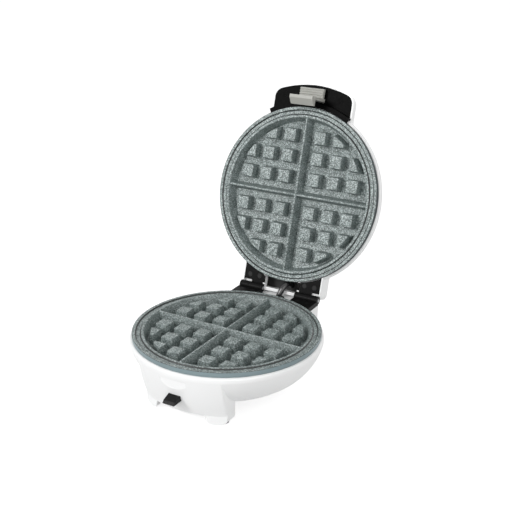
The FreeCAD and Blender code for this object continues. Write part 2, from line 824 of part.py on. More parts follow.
def base_housing():
    """The base shell: bowl, front skirt, rear block, deck, feet and screw posts."""
    reach = size.rear_radius + size.strap_half_width
    turn_inner = size.skirt_back - size.wall
    room_back = size.skirt_back + size.wall
    bowl = turned("bowl", [
        (0, size.bowl_floor_height),
        (size.bowl_floor_radius, size.bowl_floor_height),
        (size.rim_radius, size.bowl_side_height, size.bowl_curve),
        (size.rim_radius, base_rim_top - size.rim_round),
        (size.rim_radius - size.rim_round, base_rim_top, size.rim_round),
        (0, base_rim_top),
    ])
    skirt = footed_block("skirt", [
        (turn_inner, size.pad_proud),
        (size.skirt_foot_radius, size.pad_proud),
        (size.skirt_foot_radius, size.arch_height),
        (size.rim_radius, size.bowl_side_height, size.skirt_curve),
        (turn_inner, size.bowl_side_height),
    ], size.bowl_side_height, reach, False, size.skirt_corner)
    rear = footed_block("rear_block", [
        (turn_inner, size.pad_proud),
        (size.rear_radius, size.pad_proud),
        (size.rear_radius, deck_height),
        (turn_inner, deck_height),
    ], deck_height, reach, True, size.rear_corner)
    rear_relief = block(
        "rear_foot_relief", -reach, reach, turn_inner, size.rear_foot_start, 0, size.arch_height)
    outside = fused("base_outside", [bowl, skirt, cut("rear_with_feet", rear, [rear_relief])])
    bowl_inside = turned("bowl_inside", [
        (0, size.bowl_floor_height + size.wall),
        (size.bowl_floor_radius - size.wall / 2, size.bowl_floor_height + size.wall),
        (size.rim_radius - size.wall, size.bowl_side_height, size.bowl_curve - size.wall),
        (rim_bore, base_rim_top - size.rim_depth),
        (rim_bore, size.parting_height),
        (0, size.parting_height),
    ])
    inner_half = size.strap_half_width - size.wall
    skirt_inside = shared("skirt_inside", turned("skirt_inside_turn", [
        (turn_inner, base_floor),
        (size.skirt_foot_radius - size.wall, base_floor),
        (size.rim_radius - size.skirt_wall, size.bowl_side_height, size.skirt_curve),
        (turn_inner, size.bowl_side_height),
    ]), block("skirt_room", -inner_half, inner_half, -reach, -room_back, 0, size.parting_height))
    rear_inside = shared("rear_inside", turned("rear_inside_turn", [
        (turn_inner, base_floor),
        (size.rear_radius - size.wall, base_floor),
        (size.rear_radius - size.wall, deck_height - size.wall),
        (turn_inner, deck_height - size.wall),
    ]), block("rear_room", -inner_half, inner_half, room_back, reach, 0, size.parting_height))
    shell = cut("base_shell", outside, [bowl_inside, skirt_inside, rear_inside])

    def post(label, x, y):
        bottom = size.arch_height + size.wall / 2
        length = base_boss_foot - size.sheet_thickness - bottom
        return rod(label, "Z", size.post_radius, length, x * size.boss_circle, y * size.boss_circle, bottom)

    def post_hole(label, x, y):
        radius = size.plate_screw_radius + size.screw_clearance
        return rod(label, "Z", radius, size.parting_height, x * size.boss_circle, y * size.boss_circle, 0)

    def head_hole(label, x, y):
        radius = size.plate_screw_head + size.screw_clearance
        depth = size.bowl_floor_height + size.screw_sink
        return rod(label, "Z", radius, depth, x * size.boss_circle, y * size.boss_circle, 0)

    posts = around("base_post", BOSS_COUNT, BOSS_FIRST_ANGLE, post)
    holes = around("base_post_hole", BOSS_COUNT, BOSS_FIRST_ANGLE, post_hole)
    holes += around("base_head_hole", BOSS_COUNT, BOSS_FIRST_ANGLE, head_hole)
    boss_top = deck_height - size.wall / 2
    for side in (-1, 1):
        for across in (size.hinge_screw_inner, size.hinge_screw_outer):
            x = side * across
            y = size.bracket_screw_reach
            label = f"deck_{side}_{SIZES['hinge_screw_inner'] == across.number}".replace("-", "m")
            posts.append(rod(
                f"{label}_boss", "Z", size.hinge_boss_radius, size.hinge_boss_length, x, y,
                boss_top - size.hinge_boss_length))
            holes.append(rod(
                f"{label}_pilot", "Z", size.hinge_screw_radius, size.hinge_screw_length, x, y,
                deck_height + size.bracket_height - size.hinge_screw_head_height - size.hinge_screw_length))
        for y in (-size.front_pad_reach, size.rear_pad_reach):
            label = f"pad_seat_{side}_{y.number > 0}".replace("-", "m")
            holes.append(rod(
                label, "Z", size.pad_radius + size.pad_clearance, size.pad_thickness,
                side * size.pad_across, y, 0))
    holes.append(catch_pocket())
    holes.append(button_hole())
    holes.append(rod(
        "gland_hole", "Y", size.gland_radius + size.gland_clearance, reach, 0,
        size.rear_radius - 2 * size.wall, size.gland_height))
    holes.append(rod(
        "grommet_hole", "Z", grommet_radius() + size.pad_clearance, size.parting_height,
        size.sleeve_across, size.sleeve_root_reach, deck_height - 2 * size.wall))
    posts_inside = shared("base_posts_inside", fused("base_posts", posts), outside)
    hand_in("base_housing", cut("base_housing_cut", fused("base_with_posts", [shell, posts_inside]), holes))


def catch_pocket():
    """The notch under the front rim that the latch's hook snaps into."""
    ledge = size.parting_height - size.hook_catch + size.catch_clearance
    back = -(size.hook_nose_reach - size.catch_clearance)
    half = size.catch_half_width
    return block("catch_pocket", -half, half, -size.rear_radius, back, ledge - size.catch_depth, ledge)


def button_hole():
    half = size.button_half_width + size.button_clearance
    low = size.parting_height - size.button_bottom - size.button_clearance
    high = size.parting_height - size.button_top + size.button_clearance
    return block("button_hole", -half, half, -size.rear_radius, -size.button_stem_reach, low, high)


def grommet_radius():
    return size.sleeve_radius + size.grommet_clearance + size.grommet_wall


def foot_pads():
    pads = []
    for side in (-1, 1):
        for y in (-size.front_pad_reach, size.rear_pad_reach):
            label = f"foot_pad_{side}_{y.number > 0}".replace("-", "m")
            pads.append(rod(label, "Z", size.pad_radius, size.pad_thickness, side * size.pad_across, y, 0))
    hand_in("rubber_feet", grouped("foot_pads", pads))


def screw(name, head_radius, head_height, shank_radius, shank_length, x, y, head_face, direction):
    """A screw whose head bears on head_face. Its shank runs up for +1 and down for -1."""
    shank_from = head_face if direction > 0 else head_face - shank_length
    head_from = head_face - head_height if direction > 0 else head_face
    shank = rod(f"{name}_shank", "Z", shank_radius, shank_length, x, y, shank_from)
    head = rod(f"{name}_head", "Z", head_radius, head_height, x, y, head_from)
    return fused(name, [shank, head])


def plate_screws():
    """Three screws up through the base's posts, and three down through the lid's reflector."""
    base_face = size.bowl_floor_height + size.screw_sink
    base_length = base_boss_foot + size.plate_screw_depth - base_face

    def base_screw(label, x, y):
        return screw(
            label, size.plate_screw_head, size.plate_screw_head_height, size.plate_screw_radius, base_length,
            x * size.boss_circle, y * size.boss_circle, base_face, 1)

    lid_face = lid_boss_foot + size.sheet_thickness
    lid_length = size.plate_screw_depth + size.sheet_thickness

    def lid_screw(label, x, y):
        return screw(
            label, size.plate_screw_head, size.plate_screw_head_height, size.plate_screw_radius, lid_length,
            -x * size.boss_circle, y * size.boss_circle, lid_face, -1)

    base = around("base_screw", BOSS_COUNT, BOSS_FIRST_ANGLE, base_screw)
    lid = around("lid_screw", BOSS_COUNT, BOSS_FIRST_ANGLE, lid_screw)
    hand_in("lower_plate_screws", grouped("lower_screw_set", base))
    hand_in("upper_plate_screws", grouped("upper_screw_set", lid), lid=True)


def thermostat():
    """A disc thermostat against the back of the lower plate."""
    top = base_plate_back
    shoulder = top - size.thermostat_cap_height
    foot = top - size.thermostat_height
    can = turned("thermostat_can", [
        (0, foot), (size.thermostat_radius, foot), (size.thermostat_radius, shoulder),
        (size.thermostat_cap_radius, shoulder), (size.thermostat_cap_radius, top), (0, top),
    ])
    blades = []
    for side in (-1, 1):
        middle = side * size.blade_spacing
        half = size.blade_thickness / 2
        blades.append(block(
            f"blade_{side + 1}", middle - half, middle + half, -size.blade_width / 2, size.blade_width / 2,
            foot - size.blade_length, foot))
    hand_in("thermostat", fused("thermostat_whole", [can] + blades))


def thermal_fuse():
    """A cartridge fuse that lies against the back of the lower plate."""
    middle = base_plate_back - size.fuse_radius
    start = size.fuse_across - size.fuse_length / 2
    cartridge = rod("fuse_cartridge", "X", size.fuse_radius, size.fuse_length, start, 0, middle)
    leads = rod(
        "fuse_leads", "X", size.fuse_lead_radius, size.fuse_length + 2 * size.fuse_lead_length,
        start - size.fuse_lead_length, 0, middle)
    hand_in("thermal_fuse", fused("fuse_whole", [cartridge, leads]))


def terminal_block():
    """A block on the bowl's floor with three screw clamps."""
    floor = size.bowl_floor_height + size.wall
    half = size.block_length / 2
    body = block(
        "terminal_body", -half, half, size.block_reach, size.block_reach + size.block_width,
        floor, floor + size.block_height)
    bores = []
    for index in (-1, 0, 1):
        x = index * size.block_pitch
        bores.append(rod(
            f"terminal_bore_{index + 1}", "Y", size.block_bore, size.block_width, x, size.block_reach,
            floor + size.block_height / 2))
        bores.append(rod(
            f"terminal_screw_{index + 1}", "Z", size.block_bore, size.block_height / 2, x,
            size.block_reach + size.block_width / 2, floor + size.block_height / 2))
    hand_in("terminal_block", cut("terminal_whole", body, bores))


def cable_gland():
    """The bush in the back wall where a lead goes in."""
    face = size.rear_radius
    inside = size.rear_radius - size.wall - size.gland_inner_length
    body = new_body("gland")
    add_turn(body, "gland_turn", [
        (size.gland_bore, inside), (size.gland_radius, inside), (size.gland_radius, face),
        (size.gland_flange_radius, face), (size.gland_flange_radius, face + size.gland_flange / 2),
        (size.gland_radius, face + size.gland_flange), (size.gland_bore, face + size.gland_flange),
    ])
    place = FreeCAD.Placement(
        FreeCAD.Vector(0, 0, size.gland_height.number), FreeCAD.Rotation(FreeCAD.Vector(1, 0, 0), -90))
    hand_in("cable_gland", body, before=place)


def hinge_bracket(side):
    """Base half of one hinge: a foot on the deck with two knuckles that hold the pin."""
    name = "base_hinge_left" if side < 0 else "base_hinge_right"
    front = size.rim_radius + size.seat_clearance
    near, far = size.hinge_inner, size.hinge_outer
    top = deck_height + size.bracket_height
    foot = padded(f"{name}_foot", "XY_Plane", mirrored(side, [
        (near, depth_on_circle(front, near)),
        (near, size.hinge_reach),
        (far, size.hinge_reach),
        (far, depth_on_circle(front, far)),
    ], arc_last=(near, depth_on_circle(front, near), front)), deck_height, size.bracket_height)
    outer_width = far - base_knuckle_inner
    pieces = [foot]
    pieces.append(side_rod(f"{name}_outer", side, size.knuckle_radius, base_knuckle_inner, outer_width))
    pieces.append(side_rod(f"{name}_inner", side, size.knuckle_radius, near, size.ear_width))
    room_radius = size.knuckle_radius + size.knuckle_clearance
    room_from = near + size.ear_width
    tools = [side_rod(f"{name}_room", side, room_radius, room_from, base_knuckle_inner - room_from)]
    tools.append(side_rod(f"{name}_bore", side, size.pin_radius + size.pin_press_fit, near, far - near))
    for across in (size.hinge_screw_inner, size.hinge_screw_outer):
        label = f"{name}_hole_{SIZES['hinge_screw_inner'] == across.number}"
        x, y = side * across, size.bracket_screw_reach
        tools.append(rod(
            f"{label}_shank", "Z", size.hinge_screw_radius, size.bracket_height, x, y, deck_height))
        tools.append(rod(
            f"{label}_head", "Z", size.hinge_screw_head + size.screw_clearance, size.bracket_height, x, y,
            top - size.hinge_screw_head_height))
    hand_in(name, cut(f"{name}_cut", fused(f"{name}_whole", pieces), tools))


def mirrored(side, corners, arc_last=None):
    """An outline for the right side, or its mirror image. The last arc closes it."""
    outline = [tuple(corner) for corner in corners]
    if side < 0:
        outline = [(-dim(x), y) for x, y in outline]
    if arc_last is not None:
        x, y, radius = arc_last
        first = (side * x, y, side * radius)
        outline[0] = first
    return outline


def side_rod(name, side, radius, start, length):
    """A rod on the hinge axis, on the right side or mirrored to the left."""
    x = start if side > 0 else -(start + length)
    return rod(name, "X", radius, length, x, size.hinge_reach, hinge_height)


def lid_leaf(side):
    """Lid half of one hinge: a leaf under the lid with the knuckle that turns on the pin."""
    name = "lid_hinge_left" if side < 0 else "lid_hinge_right"
    front = size.plate_radius + size.seat_clearance + size.knuckle_clearance
    near, far = lid_knuckle_inner, size.leaf_outer
    stop = size.hinge_reach - size.leaf_stop
    leaf = padded(f"{name}_plate", "XY_Plane", mirrored(side, [
        (near, depth_on_circle(front, near)),
        (near, size.hinge_reach),
        (lid_knuckle_outer, size.hinge_reach),
        (lid_knuckle_outer, stop),
        (far, stop),
        (far, depth_on_circle(front, far)),
    ], arc_last=(near, depth_on_circle(front, near), front)), leaf_bottom, size.leaf_thickness)
    knuckle = side_rod(f"{name}_knuckle", side, size.knuckle_radius, near, size.lid_knuckle_width)
    bore = size.pin_radius + size.pin_running_fit
    tools = [side_rod(f"{name}_bore", side, bore, near, size.lid_knuckle_width)]
    for across in (size.hinge_screw_inner, size.hinge_screw_outer):
        label = f"{name}_hole_{SIZES['hinge_screw_inner'] == across.number}"
        x, y = side * across, size.leaf_screw_reach
        tools.append(rod(
            f"{label}_shank", "Z", size.hinge_screw_radius, size.leaf_thickness, x, y, leaf_bottom))
        tools.append(rod(
            f"{label}_head", "Z", size.hinge_screw_head + size.screw_clearance, size.hinge_screw_head_height,
            x, y, leaf_bottom))
    hand_in(name, cut(f"{name}_cut", fused(f"{name}_whole", [leaf, knuckle]), tools), lid=True)


def hinge_fasteners():
    """The two pins, and the screws that hold brackets and leaves."""
    for side, name in ((-1, "hinge_pin_left"), (1, "hinge_pin_right")):
        length = size.hinge_outer - size.hinge_inner + 2 * size.pin_proud
        start = size.hinge_inner - size.pin_proud
        hand_in(name, side_rod(f"{name}_rod", side, size.pin_radius, start, length))
    base, lid = [], []
    base_face = deck_height + size.bracket_height - size.hinge_screw_head_height
    lid_face = leaf_bottom + size.hinge_screw_head_height
    for side in (-1, 1):
        for across in (size.hinge_screw_inner, size.hinge_screw_outer):
            label = f"hinge_screw_{side}_{SIZES['hinge_screw_inner'] == across.number}".replace("-", "m")
            base.append(screw(
                f"base_{label}", size.hinge_screw_head, size.hinge_screw_head_height, size.hinge_screw_radius,
                size.hinge_screw_length, side * across, size.bracket_screw_reach, base_face, -1))
            lid.append(screw(
                f"lid_{label}", size.hinge_screw_head, size.hinge_screw_head_height, size.hinge_screw_radius,
                size.hinge_screw_length, side * across, size.leaf_screw_reach, lid_face, 1))
    hand_in("base_hinge_screws", grouped("base_hinge_screw_set", base))
    hand_in("lid_hinge_screws", grouped("lid_hinge_screw_set", lid), lid=True)


def handle_outline(inset, inner_radius=None):
    """Plan of the handle, drawn in by an inset. Its back is straight or follows the lid's rim."""
    half = size.strap_half_width - inset
    radius = size.handle_radius - inset
    corner = size.handle_corner - inset
    corner_y = depth_on_circle(radius - corner, half - corner)
    touch_x = (half - corner) * radius / (radius - corner)
    touch_y = corner_y * radius / (radius - corner)
    back = size.skirt_back if inner_radius is None else depth_on_circle(inner_radius, half)
    first = (-half, -back) if inner_radius is None else (-half, -back, -inner_radius)
    return [
        first, (-half, -corner_y), (-touch_x, -touch_y, corner), (touch_x, -touch_y, radius),
        (half, -corner_y, corner), (half, -back),
    ]


def lid_housing():
    """The lid shell: dome, handle, rear block, window for the wires and lamp holes."""
    dome = turned("dome", [
        (0, lid_rim_bottom),
        (size.rim_radius - size.rim_round, lid_rim_bottom),
        (size.rim_radius, lid_rim_bottom + size.rim_round, size.rim_round),
        (size.rim_radius, size.parting_height + size.dome_side),
        (size.dome_top_radius, dome_top, size.dome_curve),
        (0, dome_top),
    ])
    handle = padded(
        "handle", "XY_Plane", handle_outline(0), handle_bottom, size.handle_thickness, size.handle_draft)
    top = (handle_bottom + size.handle_thickness).number

    def on_handle_top(edge):
        box = edge.BoundBox
        return box.ZMin > top - 0.01 and box.YMin < -(size.skirt_back + size.handle_corner).number

    round_edges(handle, "handle_top_round", size.handle_round, on_handle_top)
    half = size.strap_half_width
    rear = padded("lid_rear", "XY_Plane", [
        (half, size.skirt_back), (half, lid_rear_reach), (-half, lid_rear_reach), (-half, size.skirt_back),
    ], leaf_bottom, size.lid_rear_height)

    def at_rear_corner(edge):
        box = edge.BoundBox
        return box.ZLength > 1 and box.XLength < 0.01 and box.YMin > lid_rear_reach.number - 0.01

    round_edges(rear, "lid_rear_rounds", size.lid_rear_round, at_rear_corner)
    outside = fused("lid_outside", [dome, handle, rear])
    inside = turned("dome_inside", [
        (0, size.parting_height),
        (rim_bore, size.parting_height),
        (rim_bore, lid_rim_bottom + size.rim_depth - size.seat_clearance),
        (size.rim_radius - size.wall, lid_rim_bottom + size.rim_depth + size.wall / 2),
        (size.dome_top_radius - size.wall / 2, dome_top - size.wall, size.dome_curve - size.wall),
        (0, dome_top - size.wall),
    ])
    plate_room = turned("plate_room", [
        (0, size.parting_height),
        (size.plate_radius + size.seat_clearance, size.parting_height),
        (size.plate_radius + size.seat_clearance, lid_rim_bottom),
        (0, lid_rim_bottom),
    ])
    pocket = padded(
        "handle_pocket", "XY_Plane", handle_outline(size.handle_edge, size.rim_radius + size.seat_clearance),
        handle_bottom, size.handle_thickness - size.handle_roof)
    inner_half = half - size.wall
    rear_room = block(
        "lid_rear_room", -inner_half, inner_half, size.skirt_back, lid_rear_reach - size.wall,
        leaf_top + size.wall, leaf_bottom + size.lid_rear_height - size.wall)
    window = block(
        "wire_window", -size.window_half_width, size.window_half_width, size.drum_top_radius,
        size.hinge_reach - size.window_margin, size.parting_height, leaf_bottom + size.window_depth)
    tools = [inside, plate_room, pocket, rear_room, window]
    posts = []
    for side in (-1, 1):
        x_from = lid_knuckle_inner - size.seat_clearance
        x_to = size.leaf_outer + size.seat_clearance
        low, high = (x_from, x_to) if side > 0 else (-x_to, -x_from)
        tools.append(block(
            f"leaf_recess_{side + 1}", low, high, size.skirt_back, lid_rear_reach,
            size.parting_height, leaf_top))
        room = size.knuckle_radius + size.knuckle_clearance
        tools.append(side_rod(
            f"knuckle_room_{side + 1}", side, room,
            size.hinge_inner - size.knuckle_gap, size.strap_half_width))
        posts.append(handle_boss(side))
        tools.append(rod(
            f"handle_pilot_{side + 1}", "Z", size.handle_screw_radius, size.handle_screw_length,
            side * size.handle_screw_across, -size.handle_screw_reach,
            handle_bottom + size.handle_screw_head_height))
        for across in (size.hinge_screw_inner, size.hinge_screw_outer):
            label = f"lid_leaf_{side}_{SIZES['hinge_screw_inner'] == across.number}".replace("-", "m")
            x, y = side * across, size.leaf_screw_reach
            posts.append(rod(
                f"{label}_boss", "Z", size.hinge_boss_radius, size.hinge_boss_length, x, y, leaf_top))
            tools.append(rod(
                f"{label}_pilot", "Z", size.hinge_screw_radius, size.hinge_screw_length, x, y,
                leaf_bottom + size.hinge_screw_head_height))
        tools.append(rod(
            f"lens_hole_{side + 1}", "Z", size.lens_stem_radius + size.lens_clearance, size.parting_height,
            side * size.lens_across, -size.lens_reach, dome_top - 2 * size.wall))

    def post(label, x, y):
        start = lid_boss_foot + size.sheet_thickness
        length = dome_top - size.wall / 2 - start
        ring = size.plate_screw_head + size.screw_clearance + size.wall
        return rod(label, "Z", ring, length, -x * size.boss_circle, y * size.boss_circle, start)

    def post_room(label, x, y):
        length = size.sheet_thickness + size.plate_screw_head_height + size.screw_clearance
        ring = size.plate_screw_head + size.screw_clearance
        return rod(label, "Z", ring, length, -x * size.boss_circle, y * size.boss_circle, lid_boss_foot)

    lid_posts = around("lid_post", BOSS_COUNT, BOSS_FIRST_ANGLE, post)
    lid_rooms = around("lid_post_room", BOSS_COUNT, BOSS_FIRST_ANGLE, post_room)
    hollow = cut("lid_shell", outside, tools[:5])
    posts_inside = shared("lid_posts_inside", fused("lid_posts", posts + lid_posts), outside)
    held = fused("lid_with_posts", [hollow, posts_inside])
    hand_in("lid_housing", cut("lid_housing_cut", held, tools[5:] + lid_rooms), lid=True)


def handle_boss(side):
    """A boss in the handle for one of the insert's screws."""
    return rod(
        f"handle_boss_{side + 1}", "Z", size.handle_boss_radius, handle_ceiling - insert_top,
        side * size.handle_screw_across, -size.handle_screw_reach, insert_top)


def handle_insert():
    """The cover under the handle, with the lip round the plate and the lugs of the latch."""
    inset = size.handle_edge + size.insert_clearance
    inner = size.rim_radius + size.seat_clearance
    cover = padded(
        "insert_cover", "XY_Plane", handle_outline(inset, inner + size.insert_clearance), handle_bottom,
        size.insert_thickness)
    lip = new_body("insert_lip")
    sketch = sketch_on(lip, "insert_lip_outline", "YZ_Plane")
    near = size.plate_radius + size.seat_clearance
    low = size.parting_height + size.lip_lift
    shelf = lid_rim_bottom - size.seat_clearance
    outer = inner + size.lip_thickness
    add_loop(sketch, [
        (-near, low), (-near, shelf), (-inner, shelf), (-inner, handle_bottom),
        (-outer, handle_bottom), (-outer, low),
    ])
    turn = lip.newObject("PartDesign::Revolution", "insert_lip_turn")
    turn.Profile = sketch
    turn.ReferenceAxis = (sketch, ["V_Axis"])
    turn.Midplane = True
    bind(turn, Angle=size.lip_angle)
    lip.Tip = turn
    pieces = [cover, lip]
    lug_inner = size.latch_half_width + size.lug_gap
    lug_outer = lug_inner + size.lug_thickness
    for low_x, high_x in ((-lug_outer, -lug_inner), (lug_inner, lug_outer)):
        pieces.append(block(
            f"lug_{low_x.number > 0}", low_x, high_x, -size.latch_pivot_reach - size.lug_half_depth,
            -size.latch_pivot_reach + size.lug_half_depth, handle_bottom,
            latch_pivot_height + size.lug_crown))
    slot_half = size.latch_half_width + size.lug_gap
    inner_face = size.latch_arm_outer - size.latch_arm_thickness
    tools = [block(
        "latch_slot", -slot_half, slot_half, -size.latch_arm_outer - size.latch_slot_clearance,
        -inner_face + size.latch_slot_clearance, size.parting_height, insert_top)]
    bore = size.latch_pin_radius + size.pin_press_fit
    tools.append(rod(
        "lug_bore", "X", bore, 2 * lug_outer, -lug_outer, -size.latch_pivot_reach, latch_pivot_height))
    for side in (-1, 1):
        x = side * size.handle_screw_across
        tools.append(rod(
            f"insert_hole_{side + 1}", "Z", size.handle_screw_radius, size.insert_thickness, x,
            -size.handle_screw_reach, handle_bottom))
        tools.append(rod(
            f"insert_head_{side + 1}", "Z", size.handle_screw_head + size.screw_clearance,
            size.handle_screw_head_height, x, -size.handle_screw_reach, handle_bottom))
    hand_in("handle_insert", cut("handle_insert_cut", fused("insert_whole", pieces), tools), lid=True)


def handle_screws():
    screws = []
    for side in (-1, 1):
        screws.append(screw(
            f"handle_screw_{side + 1}", size.handle_screw_head, size.handle_screw_head_height,
            size.handle_screw_radius, size.handle_screw_length, side * size.handle_screw_across,
            -size.handle_screw_reach, handle_bottom + size.handle_screw_head_height, 1))
    hand_in("handle_screws", grouped("handle_screw_set", screws), lid=True)


def latch():
    """The latch: a hook on an arm, a ribbed finger pad and a boss that turns on the latch pin."""
    level = size.parting_height
    outer = size.latch_arm_outer
    inner = outer - size.latch_arm_thickness
    half = size.latch_half_width
    arm = padded("latch_arm", "YZ_Plane", [
        (-outer, level - size.hook_catch), (-inner, level - size.hook_catch),
        (-inner, latch_pivot_height), (-outer, latch_pivot_height),
    ], -half, 2 * half)
    hook = padded("latch_hook", "YZ_Plane", [
        (-outer, level - size.hook_tip),
        (-outer + size.hook_tip_thickness, level - size.hook_tip),
        (-size.hook_nose_reach, level - size.hook_ramp),
        (-size.hook_nose_reach, level - size.hook_catch),
        (-outer, level - size.hook_catch),
    ], -size.hook_half_width, 2 * size.hook_half_width)
    pad_low = level + size.latch_pad_lift
    pad = block(
        "latch_pad", -half, half, -size.latch_pad_reach, -outer, pad_low, pad_low + size.latch_pad_thickness)
    boss = rod(
        "latch_boss", "X", size.latch_boss_radius, 2 * half, -half,
        -size.latch_pivot_reach, latch_pivot_height)
    pieces = [arm, hook, pad, boss]
    pitch = (size.latch_pad_reach - outer) / size.latch_rib_count
    for index in range(SIZES["latch_rib_count"]):
        y = -outer - (index + 0.5) * pitch
        pieces.append(rod(f"latch_rib_{index}", "X", size.latch_rib_radius, 2 * half, -half, y, pad_low))
    slot = size.spring_slot_half_width
    bore = size.latch_pin_radius + size.latch_pin_clearance
    tools = [
        rod("latch_bore", "X", bore, 2 * half, -half, -size.latch_pivot_reach, latch_pivot_height),
        block("spring_slot", -slot, slot, -size.handle_radius, -size.rim_radius,
              latch_pivot_height - size.lug_crown, handle_ceiling),
    ]
    hand_in("latch", cut("latch_cut", fused("latch_whole", pieces), tools), lid=True)
    pin_half = half + size.lug_gap + size.lug_thickness
    pin = rod(
        "latch_pin_rod", "X", size.latch_pin_radius, 2 * pin_half, -pin_half, -size.latch_pivot_reach,
        latch_pivot_height)
    hand_in("latch_pin", grouped("latch_pin_set", [pin]), lid=True)


def coil(name, coil_radius, wire, turns, length):
    """A coil spring along Z from z = 0, with its two ends cut square."""
    path = Part.makeHelix(length / turns, length, coil_radius)
    start = FreeCAD.Vector(coil_radius, 0, 0)
    section = Part.Wire([Part.makeCircle(wire, start, FreeCAD.Vector(0, 1, 0))])
    spring = doc.addObject("Part::Feature", name)
    spring.Shape = Part.Wire(path.Edges).makePipeShell([section], True, True)
    return spring


def springs():
    """The torsion spring on the latch pin and the return spring behind the button."""
    half = SIZES["spring_half_width"]
    latch_spring = coil(
        "latch_coil", SIZES["spring_coil_radius"], SIZES["spring_wire"], SIZES["spring_turns"], 2 * half)
    on_pin = FreeCAD.Placement(
        FreeCAD.Vector(-half, -size.latch_pivot_reach.number, latch_pivot_height.number), ROD_TURNS["X"])
    hand_in("latch_spring", latch_spring, True, on_pin)
    wire = SIZES["button_spring_wire"]
    length = SIZES["switch_gap"] - 2 * wire - 2 * SIZES["pad_clearance"]
    button_spring = coil(
        "button_coil", SIZES["button_spring_coil"], wire, SIZES["button_spring_turns"], length)
    start = -size.button_stem_reach.number + wire + SIZES["pad_clearance"]
    behind_button = FreeCAD.Placement(FreeCAD.Vector(0, start, button_middle().number), ROD_TURNS["Y"])
    hand_in("front_button_spring", button_spring, False, behind_button)


def button_middle():
    return size.parting_height - (size.button_top + size.button_bottom) / 2


def front_button():
    """The wedge-shaped push button in the front wall and the switch body behind it."""
    level = size.parting_height
    half = size.button_half_width
    wedge = padded("button_wedge", "YZ_Plane", [
        (-size.button_stem_reach, level - size.button_bottom),
        (-size.button_stem_reach, level - size.button_top),
        (-size.button_root_reach, level - size.button_top),
        (-size.button_shoulder_reach, level - size.button_shoulder),
        (-size.button_nose_reach, level - size.button_bottom),
    ], -half, 2 * half)
    proud = size.button_flange_proud
    flange = block(
        "button_flange", -half - proud, half + proud, -size.button_stem_reach - size.button_flange_thickness,
        -size.button_stem_reach, level - size.button_bottom - proud, level - size.button_top + proud)
    hand_in("front_button", fused("button_whole", [wedge, flange]))
    switch_face = -size.button_stem_reach + size.switch_gap
    hand_in("front_switch", block(
        "switch_body", -size.switch_half_width, size.switch_half_width, switch_face,
        switch_face + size.switch_depth, base_floor, size.switch_top))


def wire_sleeve():
    """The sleeve for the lid's wires: straight runs with bends, from the deck into the lid's window."""
    x = SIZES["sleeve_across"]
    deck = deck_height.number
    root_reach = size.sleeve_root_reach.number
    points = [
        FreeCAD.Vector(x, root_reach, deck - SIZES["sleeve_root_depth"]),
        FreeCAD.Vector(x, root_reach, deck + SIZES["sleeve_rise"]),
        FreeCAD.Vector(x, size.sleeve_crest_reach.number, deck + SIZES["sleeve_crest_rise"]),
        FreeCAD.Vector(x, size.sleeve_end_reach.number, deck + SIZES["sleeve_end_rise"]),
    ]
    edges = []
    cursor = points[0]
    for before, corner, after in zip(points, points[1:], points[2:]):
        arrive = (corner - before).normalize()
        leave = (after - corner).normalize()
        turn = math.acos(arrive.dot(leave))
        trim = SIZES["sleeve_bend"] * math.tan(turn / 2)
        bend_from = corner - arrive * trim
        bend_to = corner + leave * trim
        bisector = (leave - arrive).normalize()
        middle = corner + bisector * (SIZES["sleeve_bend"] / math.cos(turn / 2) - SIZES["sleeve_bend"])
        edges.append(Part.LineSegment(cursor, bend_from).toShape())
        edges.append(Part.Arc(bend_from, middle, bend_to).toShape())
        cursor = bend_to
    edges.append(Part.LineSegment(cursor, points[-1]).toShape())
    section = Part.Wire([Part.makeCircle(SIZES["sleeve_radius"], points[0], points[1] - points[0])])
    sleeve = doc.addObject("Part::Feature", "sleeve_tube")
    sleeve.Shape = Part.Wire(edges).makePipeShell([section], True, False)
    hand_in("wire_sleeve", sleeve)
    bore = size.sleeve_radius + size.grommet_clearance
    flange = grommet_radius() + size.grommet_flange
    grommet = turned("grommet", [
        (bore, deck_height - size.wall), (grommet_radius(), deck_height - size.wall),
        (grommet_radius(), deck_height), (flange, deck_height),
        (flange, deck_height + size.grommet_height), (bore, deck_height + size.grommet_height),
    ])
    place = FreeCAD.Placement(FreeCAD.Vector(x, root_reach, 0), FreeCAD.Rotation())
    hand_in("sleeve_grommet", grommet, before=place)


def wire_shield():
    """A dark sheet behind the wires, against the roof of the lid's rear room."""
    half = size.window_half_width + size.shield_overlap
    roof = leaf_bottom + size.lid_rear_height - size.wall
    sheet_piece = block(
        "wire_shield_sheet", -half, half, size.drum_top_radius + size.shield_gap,
        lid_rear_reach - size.wall - size.seat_clearance, roof - size.shield_thickness, roof)
    hand_in("wire_shield", grouped("wire_shield_set", [sheet_piece]), lid=True)


def indicators():
    """Two lenses in the lid's top, each with a lamp in its stem."""
    lamps = []
    for side, label in ((-1, "power_lens"), (1, "ready_lens")):
        stem_end = dome_top - size.lens_stem_length
        roof = dome_top
        lens = turned(label, [
            (size.lens_bore, stem_end), (size.lens_stem_radius, stem_end), (size.lens_stem_radius, dome_top),
            (size.lens_radius, dome_top), (size.lens_radius, dome_top + size.lens_proud / 2),
            (0, dome_top + size.lens_proud), (0, roof), (size.lens_bore, roof),
        ])
        place = FreeCAD.Placement(
            FreeCAD.Vector(side * SIZES["lens_across"], -SIZES["lens_reach"], 0), FreeCAD.Rotation())
        hand_in(label, lens, True, place)
        lamps.append(rod(
            f"lamp_{side + 1}", "Z", size.lamp_radius, size.lamp_length, side * size.lens_across,
            -size.lens_reach, dome_top - size.lamp_length))
    hand_in("indicator_lamps", grouped("lamp_set", lamps), lid=True)


